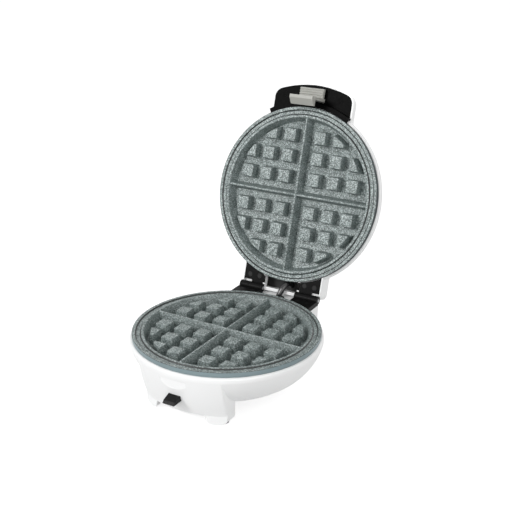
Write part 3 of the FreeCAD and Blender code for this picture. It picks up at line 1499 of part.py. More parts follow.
def main():
    base_housing()
    lid_housing()
    cooking_pieces()
    plate_screws()
    thermostat()
    thermal_fuse()
    terminal_block()
    foot_pads()
    cable_gland()
    for side in (-1, 1):
        hinge_bracket(side)
        lid_leaf(side)
    hinge_fasteners()
    handle_insert()
    handle_screws()
    latch()
    front_button()
    springs()
    wire_sleeve()
    wire_shield()
    indicators()
    doc.recompute()
    for thing in doc.Objects:
        if "Invalid" in thing.State or "Error" in thing.State:
            raise RuntimeError(f"{thing.Name} failed: {thing.State}")
    for thing in PARTS:
        if thing.Shape.isNull() or not thing.Shape.isValid():
            raise RuntimeError(f"{thing.Label} has no valid shape")
    os.makedirs("parts", exist_ok=True)
    for thing in PARTS:
        thing.Shape.exportStep(f"parts/{thing.Label}.step")


main()
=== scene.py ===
import json
import math
from itertools import product

import bpy
from mathutils import Matrix, Vector

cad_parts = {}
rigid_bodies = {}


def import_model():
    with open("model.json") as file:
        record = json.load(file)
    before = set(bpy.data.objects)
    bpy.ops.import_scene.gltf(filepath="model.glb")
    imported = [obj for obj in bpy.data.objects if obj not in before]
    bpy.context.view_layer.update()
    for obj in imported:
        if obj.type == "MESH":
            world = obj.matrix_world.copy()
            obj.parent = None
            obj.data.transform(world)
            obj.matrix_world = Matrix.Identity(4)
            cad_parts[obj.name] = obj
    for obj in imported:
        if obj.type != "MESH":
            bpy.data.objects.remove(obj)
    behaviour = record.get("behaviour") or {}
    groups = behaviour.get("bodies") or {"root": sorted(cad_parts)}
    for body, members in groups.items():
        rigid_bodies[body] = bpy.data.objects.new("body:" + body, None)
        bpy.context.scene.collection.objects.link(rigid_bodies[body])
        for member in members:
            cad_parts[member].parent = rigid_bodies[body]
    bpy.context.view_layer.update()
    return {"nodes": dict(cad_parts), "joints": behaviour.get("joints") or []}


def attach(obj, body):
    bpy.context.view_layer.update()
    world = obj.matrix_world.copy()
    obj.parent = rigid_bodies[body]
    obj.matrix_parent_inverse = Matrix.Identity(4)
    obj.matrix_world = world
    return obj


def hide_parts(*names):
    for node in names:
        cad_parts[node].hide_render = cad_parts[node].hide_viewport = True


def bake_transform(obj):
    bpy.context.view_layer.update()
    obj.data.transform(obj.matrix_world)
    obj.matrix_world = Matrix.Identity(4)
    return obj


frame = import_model()

bl_info = {
    "name": "Round waffle maker",
    "version": (1, 0, 0),
    "blender": (4, 5, 0),
    "location": "View3D > Sidebar > Waffle maker",
    "description": "Dresses a round waffle maker: plates, shells, hinges, latch and wire sleeve",
    "category": "Object",
}

MM = 0.001
LID_JOINT = next(joint for joint in frame["joints"] if joint["name"] == "lid_hinge")
HINGE = Vector(LID_JOINT["pos_m"])
OPEN_ANGLE = math.radians(max(LID_JOINT["range_deg"]))
# Turns a piece that is modelled on the closed lid to the open lid.
LID_OPEN = Matrix.Translation(HINGE) @ Matrix.Rotation(-OPEN_ANGLE, 4, "X") @ Matrix.Translation(-HINGE)

# Castings: sides of their circles, slant of their walls, pegs along a side of each quarter.
ROUND_SIDES = 160
WALL_DRAFT = math.radians(15)
PEG_DRAFT = math.radians(7)
PEG_ROWS = 3
# Places of the further coats among a casting's materials; the wall and groove coats are painted shade.
SHADED_WALL_INDEX, FLANGE_INDEX, GROOVE_SHADE_INDEX = 1, 2, 3
# Normals past this share of the vertical count as level faces.
LEVEL = 0.9


class PlateSizes(bpy.types.PropertyGroup):
    """Sizes of the two cast plates."""

    rim_height: bpy.props.FloatProperty(
        name="Rim height", description="Height of the lower plate's rim over the worktop", default=0.05985,
        subtype="DISTANCE")
    rim_gap: bpy.props.FloatProperty(
        name="Rim gap", description="Gap between the closed rims", default=0.0003, subtype="DISTANCE")
    radius: bpy.props.FloatProperty(
        name="Radius", description="Outer radius of a plate", default=0.095, subtype="DISTANCE")
    flange: bpy.props.FloatProperty(
        name="Flange", description="Height of the visible side of a plate", default=0.005, subtype="DISTANCE")
    cavity_radius: bpy.props.FloatProperty(
        name="Cavity radius", description="Radius of the hollow at the rim", default=0.0833,
        subtype="DISTANCE")
    cavity_depth: bpy.props.FloatProperty(
        name="Cavity depth", description="Depth of the hollow", default=0.012, subtype="DISTANCE")
    peg_first: bpy.props.FloatProperty(
        name="First peg", description="Centre of the first peg from the middle", default=0.018,
        subtype="DISTANCE")
    peg_pitch: bpy.props.FloatProperty(
        name="Peg pitch", description="Distance between pegs", default=0.0227, subtype="DISTANCE")
    peg_base: bpy.props.FloatProperty(
        name="Peg base", description="Width of a peg at its foot", default=0.0155, subtype="DISTANCE")
    peg_height: bpy.props.FloatProperty(
        name="Peg height", description="Height of a peg", default=0.0105, subtype="DISTANCE")
    peg_circle: bpy.props.FloatProperty(
        name="Peg circle", description="Radius that trims the outer pegs", default=0.076, subtype="DISTANCE")
    edge_round: bpy.props.FloatProperty(
        name="Edge round", description="Rounding of the pegs' edges", default=0.0004, subtype="DISTANCE")


class FinishColours(bpy.types.PropertyGroup):
    """Colours that a user would change."""

    shell: bpy.props.FloatVectorProperty(
        name="Shell", description="White moulded shells", subtype="COLOR", default=(0.88, 0.885, 0.885))
    coat: bpy.props.FloatVectorProperty(
        name="Plate coat", description="Ground of the speckled coat", subtype="COLOR",
        default=(0.14, 0.172, 0.168))
    speckle: bpy.props.FloatVectorProperty(
        name="Speckle", description="Pale speckles in the coat", subtype="COLOR", default=(0.54, 0.61, 0.6))
    flange: bpy.props.FloatVectorProperty(
        name="Flange", description="Smooth side of the plates", subtype="COLOR", default=(0.19, 0.25, 0.265))
    trim: bpy.props.FloatVectorProperty(
        name="Black trim", description="Black mouldings", subtype="COLOR", default=(0.004, 0.004, 0.004))
    latch: bpy.props.FloatVectorProperty(
        name="Latch", description="Grey latch", subtype="COLOR", default=(0.38, 0.38, 0.35))


class StageSizes(bpy.types.PropertyGroup):
    """Camera and light of the studio."""

    lens: bpy.props.FloatProperty(name="Lens", description="Focal length", default=67.69, unit="CAMERA")
    azimuth: bpy.props.FloatProperty(
        name="Azimuth", description="Camera angle to the right of the front", default=math.radians(30.416),
        subtype="ANGLE")
    elevation: bpy.props.FloatProperty(
        name="Elevation", description="Camera angle over the worktop", default=math.radians(21.38),
        subtype="ANGLE")
    camera_place: bpy.props.FloatVectorProperty(
        name="Camera place", description="Where the camera stands", subtype="TRANSLATION",
        default=(0.46436, -0.73531, 0.47868))
    key_power: bpy.props.FloatProperty(name="Key", description="Power of the key light", default=16.0)
    fill_power: bpy.props.FloatProperty(name="Fill", description="Power of the fill light", default=7.0)
    back_power: bpy.props.FloatProperty(name="Back", description="Power of the light behind", default=5.5)


def deselect():
    """Leaves edit mode with nothing selected."""
    if bpy.context.mode != "OBJECT":
        bpy.ops.object.mode_set(mode="OBJECT")
    bpy.ops.object.select_all(action="DESELECT")


def make_active(thing):
    """Selects one object alone."""
    deselect()
    thing.select_set(True)
    bpy.context.view_layer.objects.active = thing


def pick_faces(thing, wanted):
    """Leaves edit mode on, with just the wanted faces selected."""
    make_active(thing)
    bpy.ops.object.mode_set(mode="EDIT")
    bpy.ops.mesh.select_mode(type="FACE")
    bpy.ops.mesh.select_all(action="DESELECT")
    bpy.ops.object.mode_set(mode="OBJECT")
    for face in thing.data.polygons:
        face.select = wanted(face)
    bpy.ops.object.mode_set(mode="EDIT")


def merge(thing, distance):
    """Joins the points that lie closer than the distance."""
    make_active(thing)
    bpy.ops.object.mode_set(mode="EDIT")
    bpy.ops.mesh.select_all(action="SELECT")
    bpy.ops.mesh.remove_doubles(threshold=distance)
    bpy.ops.object.mode_set(mode="OBJECT")


def apply_modifier(thing, kind, **settings):
    """Adds a modifier and applies it."""
    modifier = thing.modifiers.new(kind.title(), kind)
    for name, value in settings.items():
        setattr(modifier, name, value)
    make_active(thing)
    bpy.ops.object.modifier_apply(modifier=modifier.name)


def round_edges(thing, width, segments, angle=30):
    """Rounds the edges that turn by more than the angle."""
    apply_modifier(
        thing, "BEVEL", width=width, segments=segments, limit_method="ANGLE", angle_limit=math.radians(angle))


def apply_place(thing):
    """Moves an object's place, turn and scale into its mesh."""
    make_active(thing)
    bpy.ops.object.transform_apply(location=True, rotation=True, scale=True)


def copy_of(thing, name):
    """A copy with its own mesh."""
    twin = thing.copy()
    twin.data = thing.data.copy()
    twin.name = name
    bpy.context.collection.objects.link(twin)
    return twin


def join(things, name):
    """One object out of many."""
    deselect()
    for thing in things:
        thing.select_set(True)
    bpy.context.view_layer.objects.active = things[0]
    bpy.ops.object.join()
    whole = bpy.context.view_layer.objects.active
    whole.name = name
    whole.data.name = name
    return whole


def smooth(thing, angle=35):
    """Shades smoothly across edges flatter than the angle."""
    make_active(thing)
    bpy.ops.object.shade_smooth_by_angle(angle=math.radians(angle))


def new_material(name):
    """A node material, with its tree, its shader and its Object coordinates."""
    material = bpy.data.materials.new(name)
    material.use_nodes = True
    tree = material.node_tree
    shader = next(node for node in tree.nodes if node.type == "BSDF_PRINCIPLED")
    place = tree.nodes.new("ShaderNodeTexCoord")
    return material, tree, shader, place.outputs["Object"]


def noise(tree, place, scale, detail=2.0, roughness=0.5):
    """Soft random greys."""
    node = tree.nodes.new("ShaderNodeTexNoise")
    node.inputs["Scale"].default_value = scale
    node.inputs["Detail"].default_value = detail
    node.inputs["Roughness"].default_value = roughness
    tree.links.new(place, node.inputs["Vector"])
    return node.outputs["Fac"]


def cells(tree, place, scale):
    """A random grey for each of many small cells."""
    node = tree.nodes.new("ShaderNodeTexVoronoi")
    node.inputs["Scale"].default_value = scale
    tree.links.new(place, node.inputs["Vector"])
    parts = tree.nodes.new("ShaderNodeSeparateColor")
    tree.links.new(node.outputs["Color"], parts.inputs["Color"])
    return parts.outputs["Red"]


def ramp(tree, factor, stops):
    """Turns greys into colours, by stops of a position and a colour."""
    node = tree.nodes.new("ShaderNodeValToRGB")
    elements = node.color_ramp.elements
    while len(elements) < len(stops):
        elements.new(0.5)
    for element, (position, colour) in zip(elements, stops):
        element.position = position
        element.color = (*colour, 1.0)
    tree.links.new(factor, node.inputs["Fac"])
    return node.outputs["Color"]


def span(tree, factor, low, high, start=0.0, end=1.0):
    """Maps greys from start to end onto values from low to high."""
    node = tree.nodes.new("ShaderNodeMapRange")
    node.inputs["From Min"].default_value = start
    node.inputs["From Max"].default_value = end
    node.inputs["To Min"].default_value = low
    node.inputs["To Max"].default_value = high
    tree.links.new(factor, node.inputs["Value"])
    return node.outputs["Result"]


def bump(tree, shader, height, strength, distance):
    """Gives a shader a fine relief."""
    node = tree.nodes.new("ShaderNodeBump")
    node.inputs["Strength"].default_value = strength
    node.inputs["Distance"].default_value = distance
    tree.links.new(height, node.inputs["Height"])
    tree.links.new(node.outputs["Normal"], shader.inputs["Normal"])


def tinted(colour, factor):
    """A darker or paler colour, never past full."""
    return tuple(min(1.0, channel * factor) for channel in colour)


def moulded(name, colour, roughness, grain=900.0, contrast=0.06, coat=0.0, depth=0.00003, shine=0.5):
    """Moulded plastic: a faint cloud in the colour, an uneven gloss and a fine skin."""
    material, tree, shader, place = new_material(name)
    cloud = noise(tree, place, scale=14.0, detail=3.0)
    stops = [(0.3, tinted(colour, 1.0 - contrast)), (0.7, tinted(colour, 1.0 + contrast))]
    tree.links.new(ramp(tree, cloud, stops), shader.inputs["Base Color"])
    skin = noise(tree, place, scale=grain)
    gloss = span(tree, skin, low=roughness * 0.85, high=roughness * 1.15, start=0.3, end=0.7)
    tree.links.new(gloss, shader.inputs["Roughness"])
    shader.inputs["Specular IOR Level"].default_value = shine
    shader.inputs["Coat Weight"].default_value = coat
    shader.inputs["Coat Roughness"].default_value = 0.08
    bump(tree, shader, skin, strength=0.25, distance=depth)
    return material


def metal(name, colour, roughness, scale=(60.0, 60.0, 900.0)):
    """Drawn or rolled metal with fine lines along one direction."""
    material, tree, shader, place = new_material(name)
    mapping = tree.nodes.new("ShaderNodeMapping")
    mapping.inputs["Scale"].default_value = scale
    tree.links.new(place, mapping.inputs["Vector"])
    lines = noise(tree, mapping.outputs["Vector"], scale=1.0, detail=4.0, roughness=0.6)
    stops = [(0.25, tinted(colour, 0.82)), (0.75, tinted(colour, 1.12))]
    tree.links.new(ramp(tree, lines, stops), shader.inputs["Base Color"])
    gloss = span(tree, lines, low=roughness * 0.8, high=roughness * 1.25, start=0.3, end=0.7)
    tree.links.new(gloss, shader.inputs["Roughness"])
    shader.inputs["Metallic"].default_value = 1.0
    bump(tree, shader, lines, strength=0.15, distance=0.00003)
    return material


def speckled_coat(name, ground, pale, share):
    """The plates' stone-look coat: a share of pale flecks and some dark ones over a grey ground."""
    material, tree, shader, place = new_material(name)
    fleck = cells(tree, place, scale=1600.0)
    flecks = ramp(tree, fleck, [
        (0.0, tinted(ground, 0.3)),
        (0.25, tinted(ground, 0.75)),
        (0.5, ground),
        (0.95 - share, tinted(ground, 1.4)),
        (1.0 - share / 2, pale),
    ])
    tree.links.new(flecks, shader.inputs["Base Color"])
    skin = noise(tree, place, scale=620.0, roughness=0.75)
    gloss = span(tree, skin, low=0.42, high=0.6, start=0.3, end=0.7)
    tree.links.new(gloss, shader.inputs["Roughness"])
    shader.inputs["Specular IOR Level"].default_value = 0.6
    bump(tree, shader, skin, strength=0.2, distance=0.00006)
    return material


def dress(material, *nodes):
    """Puts one material in every slot of CAD nodes."""
    for name in nodes:
        thing = frame["nodes"][name]
        if not thing.data.materials:
            thing.data.materials.append(material)
        for index in range(len(thing.data.materials)):
            thing.data.materials[index] = material


def give(material, thing):
    """Makes one material the only one of a new piece."""
    thing.data.materials.clear()
    thing.data.materials.append(material)


def coat_plate(plate, colours, casting):
    """Sprayed coat over the casting: most flecks on level faces; walls darker with fewer pale flecks as
    painted shade, a near-black groove as painted shade, and a smooth flange.
    """
    ground = tuple(colours.coat)
    pale = tuple(colours.speckle)
    give(speckled_coat("speckled_coat", ground, pale, share=0.3), casting)
    for coat in (
        # The wall coat is painted shade: steep walls slightly darker, with fewer pale flecks.
        speckled_coat("wall_painted_shade", tinted(ground, 0.95), tinted(pale, 0.75), share=0.2),
        moulded("flange_coat", tuple(colours.flange), 0.4, contrast=0.08, shine=0.4),
        # The groove coat is painted shade: near-black slopes stand in for the shadow inside the groove.
        speckled_coat("groove_painted_shade", tinted(ground, 0.12), tinted(ground, 0.3), share=0.1),
    ):
        casting.data.materials.append(coat)
    side_starts = plate.radius - 0.3 * MM
    rim_starts = plate.cavity_radius + 1.0 * MM
    flat, steep = 0.95, 0.7
    for face in casting.data.polygons:
        reach = face.center.xy.length
        level = abs(face.normal.z)
        if reach > side_starts:
            face.material_index = FLANGE_INDEX
        # Slopes in the rim get the groove's painted shade.
        elif level < flat and reach > rim_starts:
            face.material_index = GROOVE_SHADE_INDEX
        # Steep faces get the walls' painted shade.
        elif level < steep:
            face.material_index = SHADED_WALL_INDEX


def cast_body(plate):
    """The round casting: a disc inset step by step into land, groove, land and hollow."""
    outer_land = 3.4 * MM
    slope = 1.0 * MM
    groove_floor = 3.6 * MM
    groove_depth = 1.6 * MM
    inner_land = plate.radius - plate.cavity_radius - outer_land - groove_floor - 2 * slope
    wall = plate.cavity_depth * math.tan(WALL_DRAFT)
    drum_ledge = 3.5 * MM
    drum_taper = 3.0 * MM
    drum_height = 10.5 * MM
    bpy.ops.mesh.primitive_cylinder_add(
        vertices=ROUND_SIDES, radius=plate.radius, depth=plate.flange, end_fill_type="NGON",
        location=(0, 0, plate.rim_height - plate.flange / 2))
    body = bpy.context.active_object
    apply_place(body)
    pick_faces(body, lambda face: face.normal.z > LEVEL)
    for thickness, depth in (
        (outer_land, 0.0),
        (slope, -groove_depth),
        (groove_floor, 0.0),
        (slope, groove_depth),
        (inner_land, 0.0),
        (wall, -plate.cavity_depth),
    ):
        bpy.ops.mesh.inset(thickness=thickness, depth=depth, use_boundary=True, use_even_offset=True)
    pick_faces(body, lambda face: face.normal.z < -LEVEL)
    bpy.ops.mesh.inset(thickness=drum_ledge, depth=0.0, use_even_offset=True)
    bpy.ops.mesh.inset(thickness=drum_taper, depth=drum_height, use_even_offset=True)
    bpy.ops.object.mode_set(mode="OBJECT")
    round_edges(body, width=0.5 * MM, segments=2, angle=12)
    return body


def tapered_block(x_size, y_size, foot, height, draft):
    """A block that narrows upwards, standing a little below the hollow's floor."""
    sunk = 1.6 * MM
    bpy.ops.mesh.primitive_cube_add(size=1.0, location=(0, 0, foot - sunk + (height + sunk) / 2))
    block = bpy.context.active_object
    block.scale = (x_size, y_size, height + sunk)
    apply_place(block)
    pick_faces(block, lambda face: face.normal.z > LEVEL)
    drawn = 2 * height * math.tan(draft)
    bpy.ops.transform.resize(value=((x_size - drawn) / x_size, (y_size - drawn) / y_size, 1.0))
    bpy.ops.object.mode_set(mode="OBJECT")
    return block


def cast_pegs(plate):
    """Pegs in four quarters, the outer ones trimmed by a circle."""
    foot = plate.rim_height - plate.cavity_depth
    first = tapered_block(plate.peg_base, plate.peg_base, foot, plate.peg_height, PEG_DRAFT)
    pegs = []
    for column, row, side_x, side_y in product(range(PEG_ROWS), range(PEG_ROWS), (-1, 1), (-1, 1)):
        if column == row == PEG_ROWS - 1:
            continue
        peg = copy_of(first, "peg")
        peg.location.x = side_x * (plate.peg_first + column * plate.peg_pitch)
        peg.location.y = side_y * (plate.peg_first + row * plate.peg_pitch)
        apply_place(peg)
        pegs.append(peg)
    bpy.data.objects.remove(first)
    pegs = join(pegs, "pegs")
    trim_depth = plate.cavity_depth + 4.0 * MM
    trim_spread = math.tan(math.radians(12)) * trim_depth
    deselect()
    bpy.ops.mesh.primitive_cone_add(
        vertices=ROUND_SIDES, radius1=plate.peg_circle + trim_spread, radius2=plate.peg_circle,
        depth=trim_depth, location=(0, 0, plate.rim_height - trim_depth / 2))
    trimmer = bpy.context.active_object
    apply_modifier(pegs, "BOOLEAN", operation="INTERSECT", solver="EXACT", object=trimmer)
    bpy.data.objects.remove(trimmer)
    round_edges(pegs, width=plate.edge_round, segments=3)
    return pegs


def cast_ridges(plate):
    """The two crossing ridges that part the waffle in four."""
    top_width = 2.0 * MM
    below_rim = 0.1 * MM
    into_wall = 0.3 * MM
    foot = plate.rim_height - plate.cavity_depth
    height = plate.cavity_depth - below_rim
    flare = height * math.tan(WALL_DRAFT)
    width = top_width + 2 * flare
    length = 2 * (plate.cavity_radius + into_wall + flare)
    ridges = []
    for x_size, y_size in ((width, length), (length, width)):
        deselect()
        ridge = tapered_block(x_size, y_size, foot, height, WALL_DRAFT)
        round_edges(ridge, width=0.6 * MM, segments=3)
        ridges.append(ridge)
    return ridges


class WAFFLE_OT_cast_plates(bpy.types.Operator):
    """Models one cast plate with rounded pegs and ridges, and turns a copy over into the lid"""

    bl_idname = "waffle.cast_plates"
    bl_label = "Cast plates"

    def execute(self, context):
        plate = context.scene.waffle_plate
        colours = context.scene.waffle_colours
        deselect()
        lower = join([cast_body(plate), cast_pegs(plate)] + cast_ridges(plate), "lower_plate_casting")
        smooth(lower)
        coat_plate(plate, colours, lower)
        upper = copy_of(lower, "upper_plate_casting")
        middle = Vector((0, 0, plate.rim_height + plate.rim_gap / 2))
        turn = Matrix.Rotation(math.pi, 4, "Y")
        over = Matrix.Translation(middle) @ turn @ Matrix.Translation(-middle)
        upper.matrix_world = LID_OPEN @ over
        apply_place(upper)
        # The upper plate's flange is a darker copy of the flange coat: painted shade.
        shaded = tinted(colours.flange, 0.2)
        upper.data.materials[FLANGE_INDEX] = moulded(
            "flange_painted_shade", shaded, 0.5, contrast=0.08, shine=0.2)
        for thing, body, node in ((lower, "base", "lower_plate"), (upper, "lid", "upper_plate")):
            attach(thing, body)
            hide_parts(node)
        return {"FINISHED"}


class WAFFLE_OT_wire_sleeve(bpy.types.Operator):
    """Draws the wire sleeve that bends between base and lid"""

    bl_idname = "waffle.wire_sleeve"
    bl_label = "Wire sleeve"

    def execute(self, context):
        # Points of the middle line, in millimetres, from the base up and over to the lid.
        route = [
            (3.0, 103.0, 44.5), (2.2, 103.0, 50.0), (1.6, 103.4, 55.0), (3.0, 105.6, 60.0),
            (5.2, 109.6, 65.6), (6.6, 114.8, 67.0), (7.0, 119.6, 64.4), (7.2, 124.2, 61.8),
        ]
        radius = 3.2 * MM
        deselect()
        bpy.ops.curve.primitive_nurbs_path_add()
        path = bpy.context.active_object
        path.name = "wire_sleeve_tube"
        path.data.splines.clear()
        spline = path.data.splines.new("NURBS")
        spline.points.add(len(route) - 1)
        for point, (x, y, z) in zip(spline.points, route):
            point.co = (x * MM, y * MM, z * MM, 1.0)
        spline.order_u = 3
        spline.use_endpoint_u = True
        spline.resolution_u = 10
        path.location = (0, 0, 0)
        path.data.bevel_depth = radius
        path.data.bevel_resolution = 6
        path.data.use_fill_caps = True
        make_active(path)
        bpy.ops.object.convert(target="MESH")
        tube = bpy.context.active_object
        merge(tube, distance=0.01 * MM)
        smooth(tube, angle=60)
        black = (0.006, 0.006, 0.0065)
        give(moulded("sleeve_black", black, 0.16, grain=700.0, contrast=0.2, coat=0.5), tube)
        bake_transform(tube)
        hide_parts("wire_sleeve")
        return {"FINISHED"}


class WAFFLE_OT_button_spring(bpy.types.Operator):
    """Puts a smoothed copy of the spring behind the button, in coil-wire metal, in place of the CAD spring"""

    bl_idname = "waffle.button_spring"
    bl_label = "Button spring"

    def execute(self, context):
        coil = copy_of(frame["nodes"]["front_button_spring"], "button_spring_coil")
        make_active(coil)
        bpy.ops.object.parent_clear(type="CLEAR_KEEP_TRANSFORM")
        apply_place(coil)
        merge(coil, distance=0.001 * MM)
        smooth(coil)
        give(metal("coil_wire", (0.5, 0.5, 0.5), 0.3), coil)
        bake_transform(coil)
        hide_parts("front_button_spring")
        return {"FINISHED"}


class WAFFLE_OT_shells(bpy.types.Operator):
    """Finishes the white shells of base and lid"""

    bl_idname = "waffle.shells"
    bl_label = "White shells"

    def execute(self, context):
        shell = tuple(context.scene.waffle_colours.shell)
        white = moulded("white_moulding", shell, 0.36, grain=500.0, contrast=0.008, depth=0.00001)
        dress(white, "base_housing", "lid_housing")
        return {"FINISHED"}


def painted_shade_strip(name, middle):
    """A thin black strip on the lid, between a hinge leaf and the window for the wires: painted shade at the
    window's side.
    """
    width = 2.6 * MM
    front, rear = 93.3 * MM, 101.6 * MM
    low, high = 60.45 * MM, 61.05 * MM
    deselect()
    bpy.ops.mesh.primitive_cube_add(size=1.0, location=(middle, (front + rear) / 2, (low + high) / 2))
    shade_strip = bpy.context.active_object
    shade_strip.name = name
    shade_strip.scale = (width, rear - front, high - low)
    apply_place(shade_strip)
    round_edges(shade_strip, width=0.2 * MM, segments=2)
    shade_strip.matrix_world = LID_OPEN
    apply_place(shade_strip)
    smooth(shade_strip)
    return shade_strip


class WAFFLE_OT_black_trim(bpy.types.Operator):
    """Finishes the hinges with black strips beside them as painted shade, the handle's cover, the button and
    the rubber parts
    """

    bl_idname = "waffle.black_trim"
    bl_label = "Black trim"

    def execute(self, context):
        black = tuple(context.scene.waffle_colours.trim)
        satin = moulded("satin_black", tinted(black, 0.9), 0.42, grain=800.0, contrast=0.15, shine=0.09)
        dress(satin, "base_hinge_left", "base_hinge_right", "lid_hinge_left", "lid_hinge_right")
        # Black strips beside the hinge leaves stand in for the shade at the sides of the wire window: painted
        # shade.
        shade_strip_place = 21.4 * MM
        for name, middle in (("left_painted_shade_strip", -shade_strip_place), ("right_painted_shade_strip", shade_strip_place)):
            shade_strip = painted_shade_strip(name, middle)
            give(satin, shade_strip)
            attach(shade_strip, "lid")
        dress(
            moulded("handle_black", tinted(black, 0.4), 0.4, grain=600.0, contrast=0.15, shine=0.03),
            "handle_insert", "handle_screws", "front_switch", "cable_gland")
        dress(
            moulded("button_black", tinted(black, 2.0), 0.4, grain=600.0, contrast=0.15, shine=0.12),
            "front_button")
        dress(
            moulded("foot_rubber", tinted(black, 4.0), 0.75, grain=1200.0, contrast=0.25, shine=0.3),
            "rubber_feet", "sleeve_grommet")
        # The near-black sheet in the lid's wire window is painted shade for the window's dark inside.
        dress(
            moulded("dark_sheet", tinted(black, 5.0), 0.6, grain=300.0, contrast=0.3, shine=0.3),
            "wire_shield")
        return {"FINISHED"}


class WAFFLE_OT_latch(bpy.types.Operator):
    """Finishes the grey latch with its ribbed pad"""

    bl_idname = "waffle.latch"
    bl_label = "Latch"

    def execute(self, context):
        grey = tuple(context.scene.waffle_colours.latch)
        dress(moulded("latch_grey", grey, 0.45, contrast=0.05), "latch")
        return {"FINISHED"}


class WAFFLE_OT_metal_parts(bpy.types.Operator):
    """Finishes heaters, reflectors, screws, pins and the latch's spring"""

    bl_idname = "waffle.metal_parts"
    bl_label = "Metal parts"

    def execute(self, context):
        dress(
            metal("heater_tube", (0.2, 0.19, 0.18), 0.5),
            "lower_heating_element", "upper_heating_element")
        dress(
            metal("bright_sheet", (0.7, 0.71, 0.72), 0.3, scale=(400.0, 30.0, 30.0)),
            "base_reflector", "lid_reflector")
        dress(
            metal("dark_screw", (0.03, 0.03, 0.03), 0.45),
            "base_hinge_screws", "lid_hinge_screws", "lower_plate_screws", "upper_plate_screws")
        dress(
            metal("ground_pin", (0.3, 0.3, 0.31), 0.35),
            "hinge_pin_left", "hinge_pin_right", "latch_pin")
        dress(metal("spring_wire", (0.5, 0.5, 0.5), 0.3), "latch_spring")
        return {"FINISHED"}


class WAFFLE_OT_electric_parts(bpy.types.Operator):
    """Finishes the parts inside and the two indicator lenses"""

    bl_idname = "waffle.electric_parts"
    bl_label = "Electric parts"

    def execute(self, context):
        dress(
            moulded("pale_ceramic", (0.7, 0.67, 0.58), 0.6, grain=700.0, contrast=0.1),
            "thermostat", "thermal_fuse", "terminal_block")
        dress(
            moulded("red_lens", (0.42, 0.02, 0.015), 0.15, grain=300.0, contrast=0.1, coat=0.5),
            "power_lens")
        dress(
            moulded("green_lens", (0.03, 0.22, 0.05), 0.15, grain=300.0, contrast=0.1, coat=0.5),
            "ready_lens")
        dress(
            moulded("lamp_glow", (0.8, 0.4, 0.2), 0.2, grain=300.0, contrast=0.1),
            "indicator_lamps")
        return {"FINISHED"}


def aim(direction):
    """The turn of a camera or light that looks along a direction."""
    return direction.to_track_quat("-Z", "Y").to_euler()


def soft_light(name, power, width, place):
    """A square soft box that looks at the object."""
    target = Vector((0, 0.05, 0.1))
    bpy.ops.object.light_add(type="AREA", location=place)
    light = bpy.context.active_object
    light.name = name
    light.data.energy = power
    light.data.size = width
    light.rotation_euler = aim(target - Vector(place))


def seen_straight(tree):
    """One for rays from the camera, and for reflections and see-through rays."""
    path = tree.nodes.new("ShaderNodeLightPath")
    total = path.outputs["Is Camera Ray"]
    for name in ("Is Glossy Ray", "Is Transmission Ray"):
        most = tree.nodes.new("ShaderNodeMath")
        most.operation = "MAXIMUM"
        tree.links.new(total, most.inputs[0])
        tree.links.new(path.outputs[name], most.inputs[1])
        total = most.outputs["Value"]
    return total


def pale_floor():
    """White studio paper that keeps a faint shadow."""
    shade = 0.5
    own_light = 0.76
    material = bpy.data.materials.new("studio_paper")
    material.use_nodes = True
    tree = material.node_tree
    tree.nodes.clear()
    output = tree.nodes.new("ShaderNodeOutputMaterial")
    paper = tree.nodes.new("ShaderNodeBsdfDiffuse")
    paper.inputs["Color"].default_value = (shade, shade, shade, 1.0)
    glow = tree.nodes.new("ShaderNodeEmission")
    tree.links.new(span(tree, seen_straight(tree), low=0.0, high=own_light), glow.inputs["Strength"])
    both = tree.nodes.new("ShaderNodeAddShader")
    tree.links.new(paper.outputs["BSDF"], both.inputs[0])
    tree.links.new(glow.outputs["Emission"], both.inputs[1])
    tree.links.new(both.outputs["Shader"], output.inputs["Surface"])
    return material


def studio_world(scene):
    """White all round for the camera, soft light for the object that fades from the horizon upwards."""
    horizon, zenith = 1.0, 0.3
    world = bpy.data.worlds.new("studio")
    scene.world = world
    world.use_nodes = True
    tree = world.node_tree
    back = next(node for node in tree.nodes if node.type == "BACKGROUND")
    back.inputs["Color"].default_value = (1.0, 1.0, 1.0, 1.0)
    place = tree.nodes.new("ShaderNodeTexCoord")
    axes = tree.nodes.new("ShaderNodeSeparateXYZ")
    tree.links.new(place.outputs["Generated"], axes.inputs["Vector"])
    soft = span(tree, axes.outputs["Z"], low=horizon, high=zenith)
    blend = tree.nodes.new("ShaderNodeMix")
    tree.links.new(seen_straight(tree), blend.inputs["Factor"])
    tree.links.new(soft, blend.inputs["A"])
    blend.inputs["B"].default_value = 1.0
    tree.links.new(blend.outputs["Result"], back.inputs["Strength"])


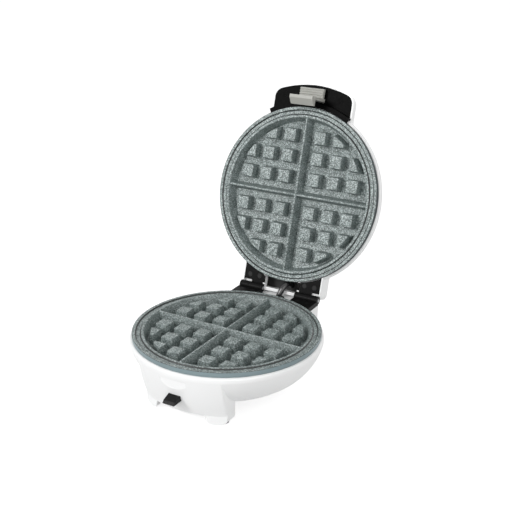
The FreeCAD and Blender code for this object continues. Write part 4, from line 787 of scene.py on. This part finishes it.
class WAFFLE_OT_stage(bpy.types.Operator):
    """Sets the floor, the studio light and the camera"""

    bl_idname = "waffle.stage"
    bl_label = "Stage"

    def execute(self, context):
        scene = context.scene
        stage = scene.waffle_stage
        scene.view_settings.view_transform = "Standard"
        floor_size = 14.0
        floor_drop = 0.2 * MM
        deselect()
        bpy.ops.mesh.primitive_plane_add(size=floor_size, location=(0, 0, -floor_drop))
        floor = bpy.context.active_object
        floor.name = "studio_floor"
        apply_place(floor)
        give(pale_floor(), floor)
        studio_world(scene)
        soft_light("key_light", stage.key_power, width=0.6, place=(-0.75, -1.4, 1.05))
        soft_light("fill_light", stage.fill_power, width=1.2, place=(1.1, -0.9, 0.7))
        soft_light("back_light", stage.back_power, width=1.2, place=(0.2, 1.6, 0.8))
        deselect()
        bpy.ops.object.camera_add(location=stage.camera_place)
        camera = bpy.context.active_object
        camera.data.lens = stage.lens
        camera.data.sensor_width = 36.0
        back = Vector((
            math.cos(stage.elevation) * math.sin(stage.azimuth),
            -math.cos(stage.elevation) * math.cos(stage.azimuth),
            math.sin(stage.elevation),
        ))
        camera.rotation_euler = aim(-back)
        scene.camera = camera
        return {"FINISHED"}


class WAFFLE_PT_panel(bpy.types.Panel):
    """Lists the steps that dress the waffle maker, and their settings"""

    bl_label = "Waffle maker"
    bl_idname = "WAFFLE_PT_panel"
    bl_space_type = "VIEW_3D"
    bl_region_type = "UI"
    bl_category = "Waffle maker"

    def draw(self, context):
        for step in STEPS:
            self.layout.operator(step.bl_idname)
        for group in SETTINGS:
            settings = getattr(context.scene, group)
            for name in settings.bl_rna.properties.keys():
                if name not in ("rna_type", "name"):
                    self.layout.prop(settings, name)


STEPS = (
    WAFFLE_OT_cast_plates,
    WAFFLE_OT_wire_sleeve,
    WAFFLE_OT_button_spring,
    WAFFLE_OT_shells,
    WAFFLE_OT_black_trim,
    WAFFLE_OT_latch,
    WAFFLE_OT_metal_parts,
    WAFFLE_OT_electric_parts,
    WAFFLE_OT_stage,
)
SETTINGS = {"waffle_plate": PlateSizes, "waffle_colours": FinishColours, "waffle_stage": StageSizes}


def register():
    for name, group in SETTINGS.items():
        bpy.utils.register_class(group)
        setattr(bpy.types.Scene, name, bpy.props.PointerProperty(type=group))
    for step in STEPS:
        bpy.utils.register_class(step)
    bpy.utils.register_class(WAFFLE_PT_panel)


def unregister():
    bpy.utils.unregister_class(WAFFLE_PT_panel)
    for step in reversed(STEPS):
        bpy.utils.unregister_class(step)
    for name, group in SETTINGS.items():
        delattr(bpy.types.Scene, name)
        bpy.utils.unregister_class(group)


def main():
    register()
    bpy.ops.waffle.cast_plates()
    bpy.ops.waffle.wire_sleeve()
    bpy.ops.waffle.button_spring()
    bpy.ops.waffle.shells()
    bpy.ops.waffle.black_trim()
    bpy.ops.waffle.latch()
    bpy.ops.waffle.metal_parts()
    bpy.ops.waffle.electric_parts()
    bpy.ops.waffle.stage()
    bpy.context.view_layer.update()


if __name__ == "__main__":
    main()
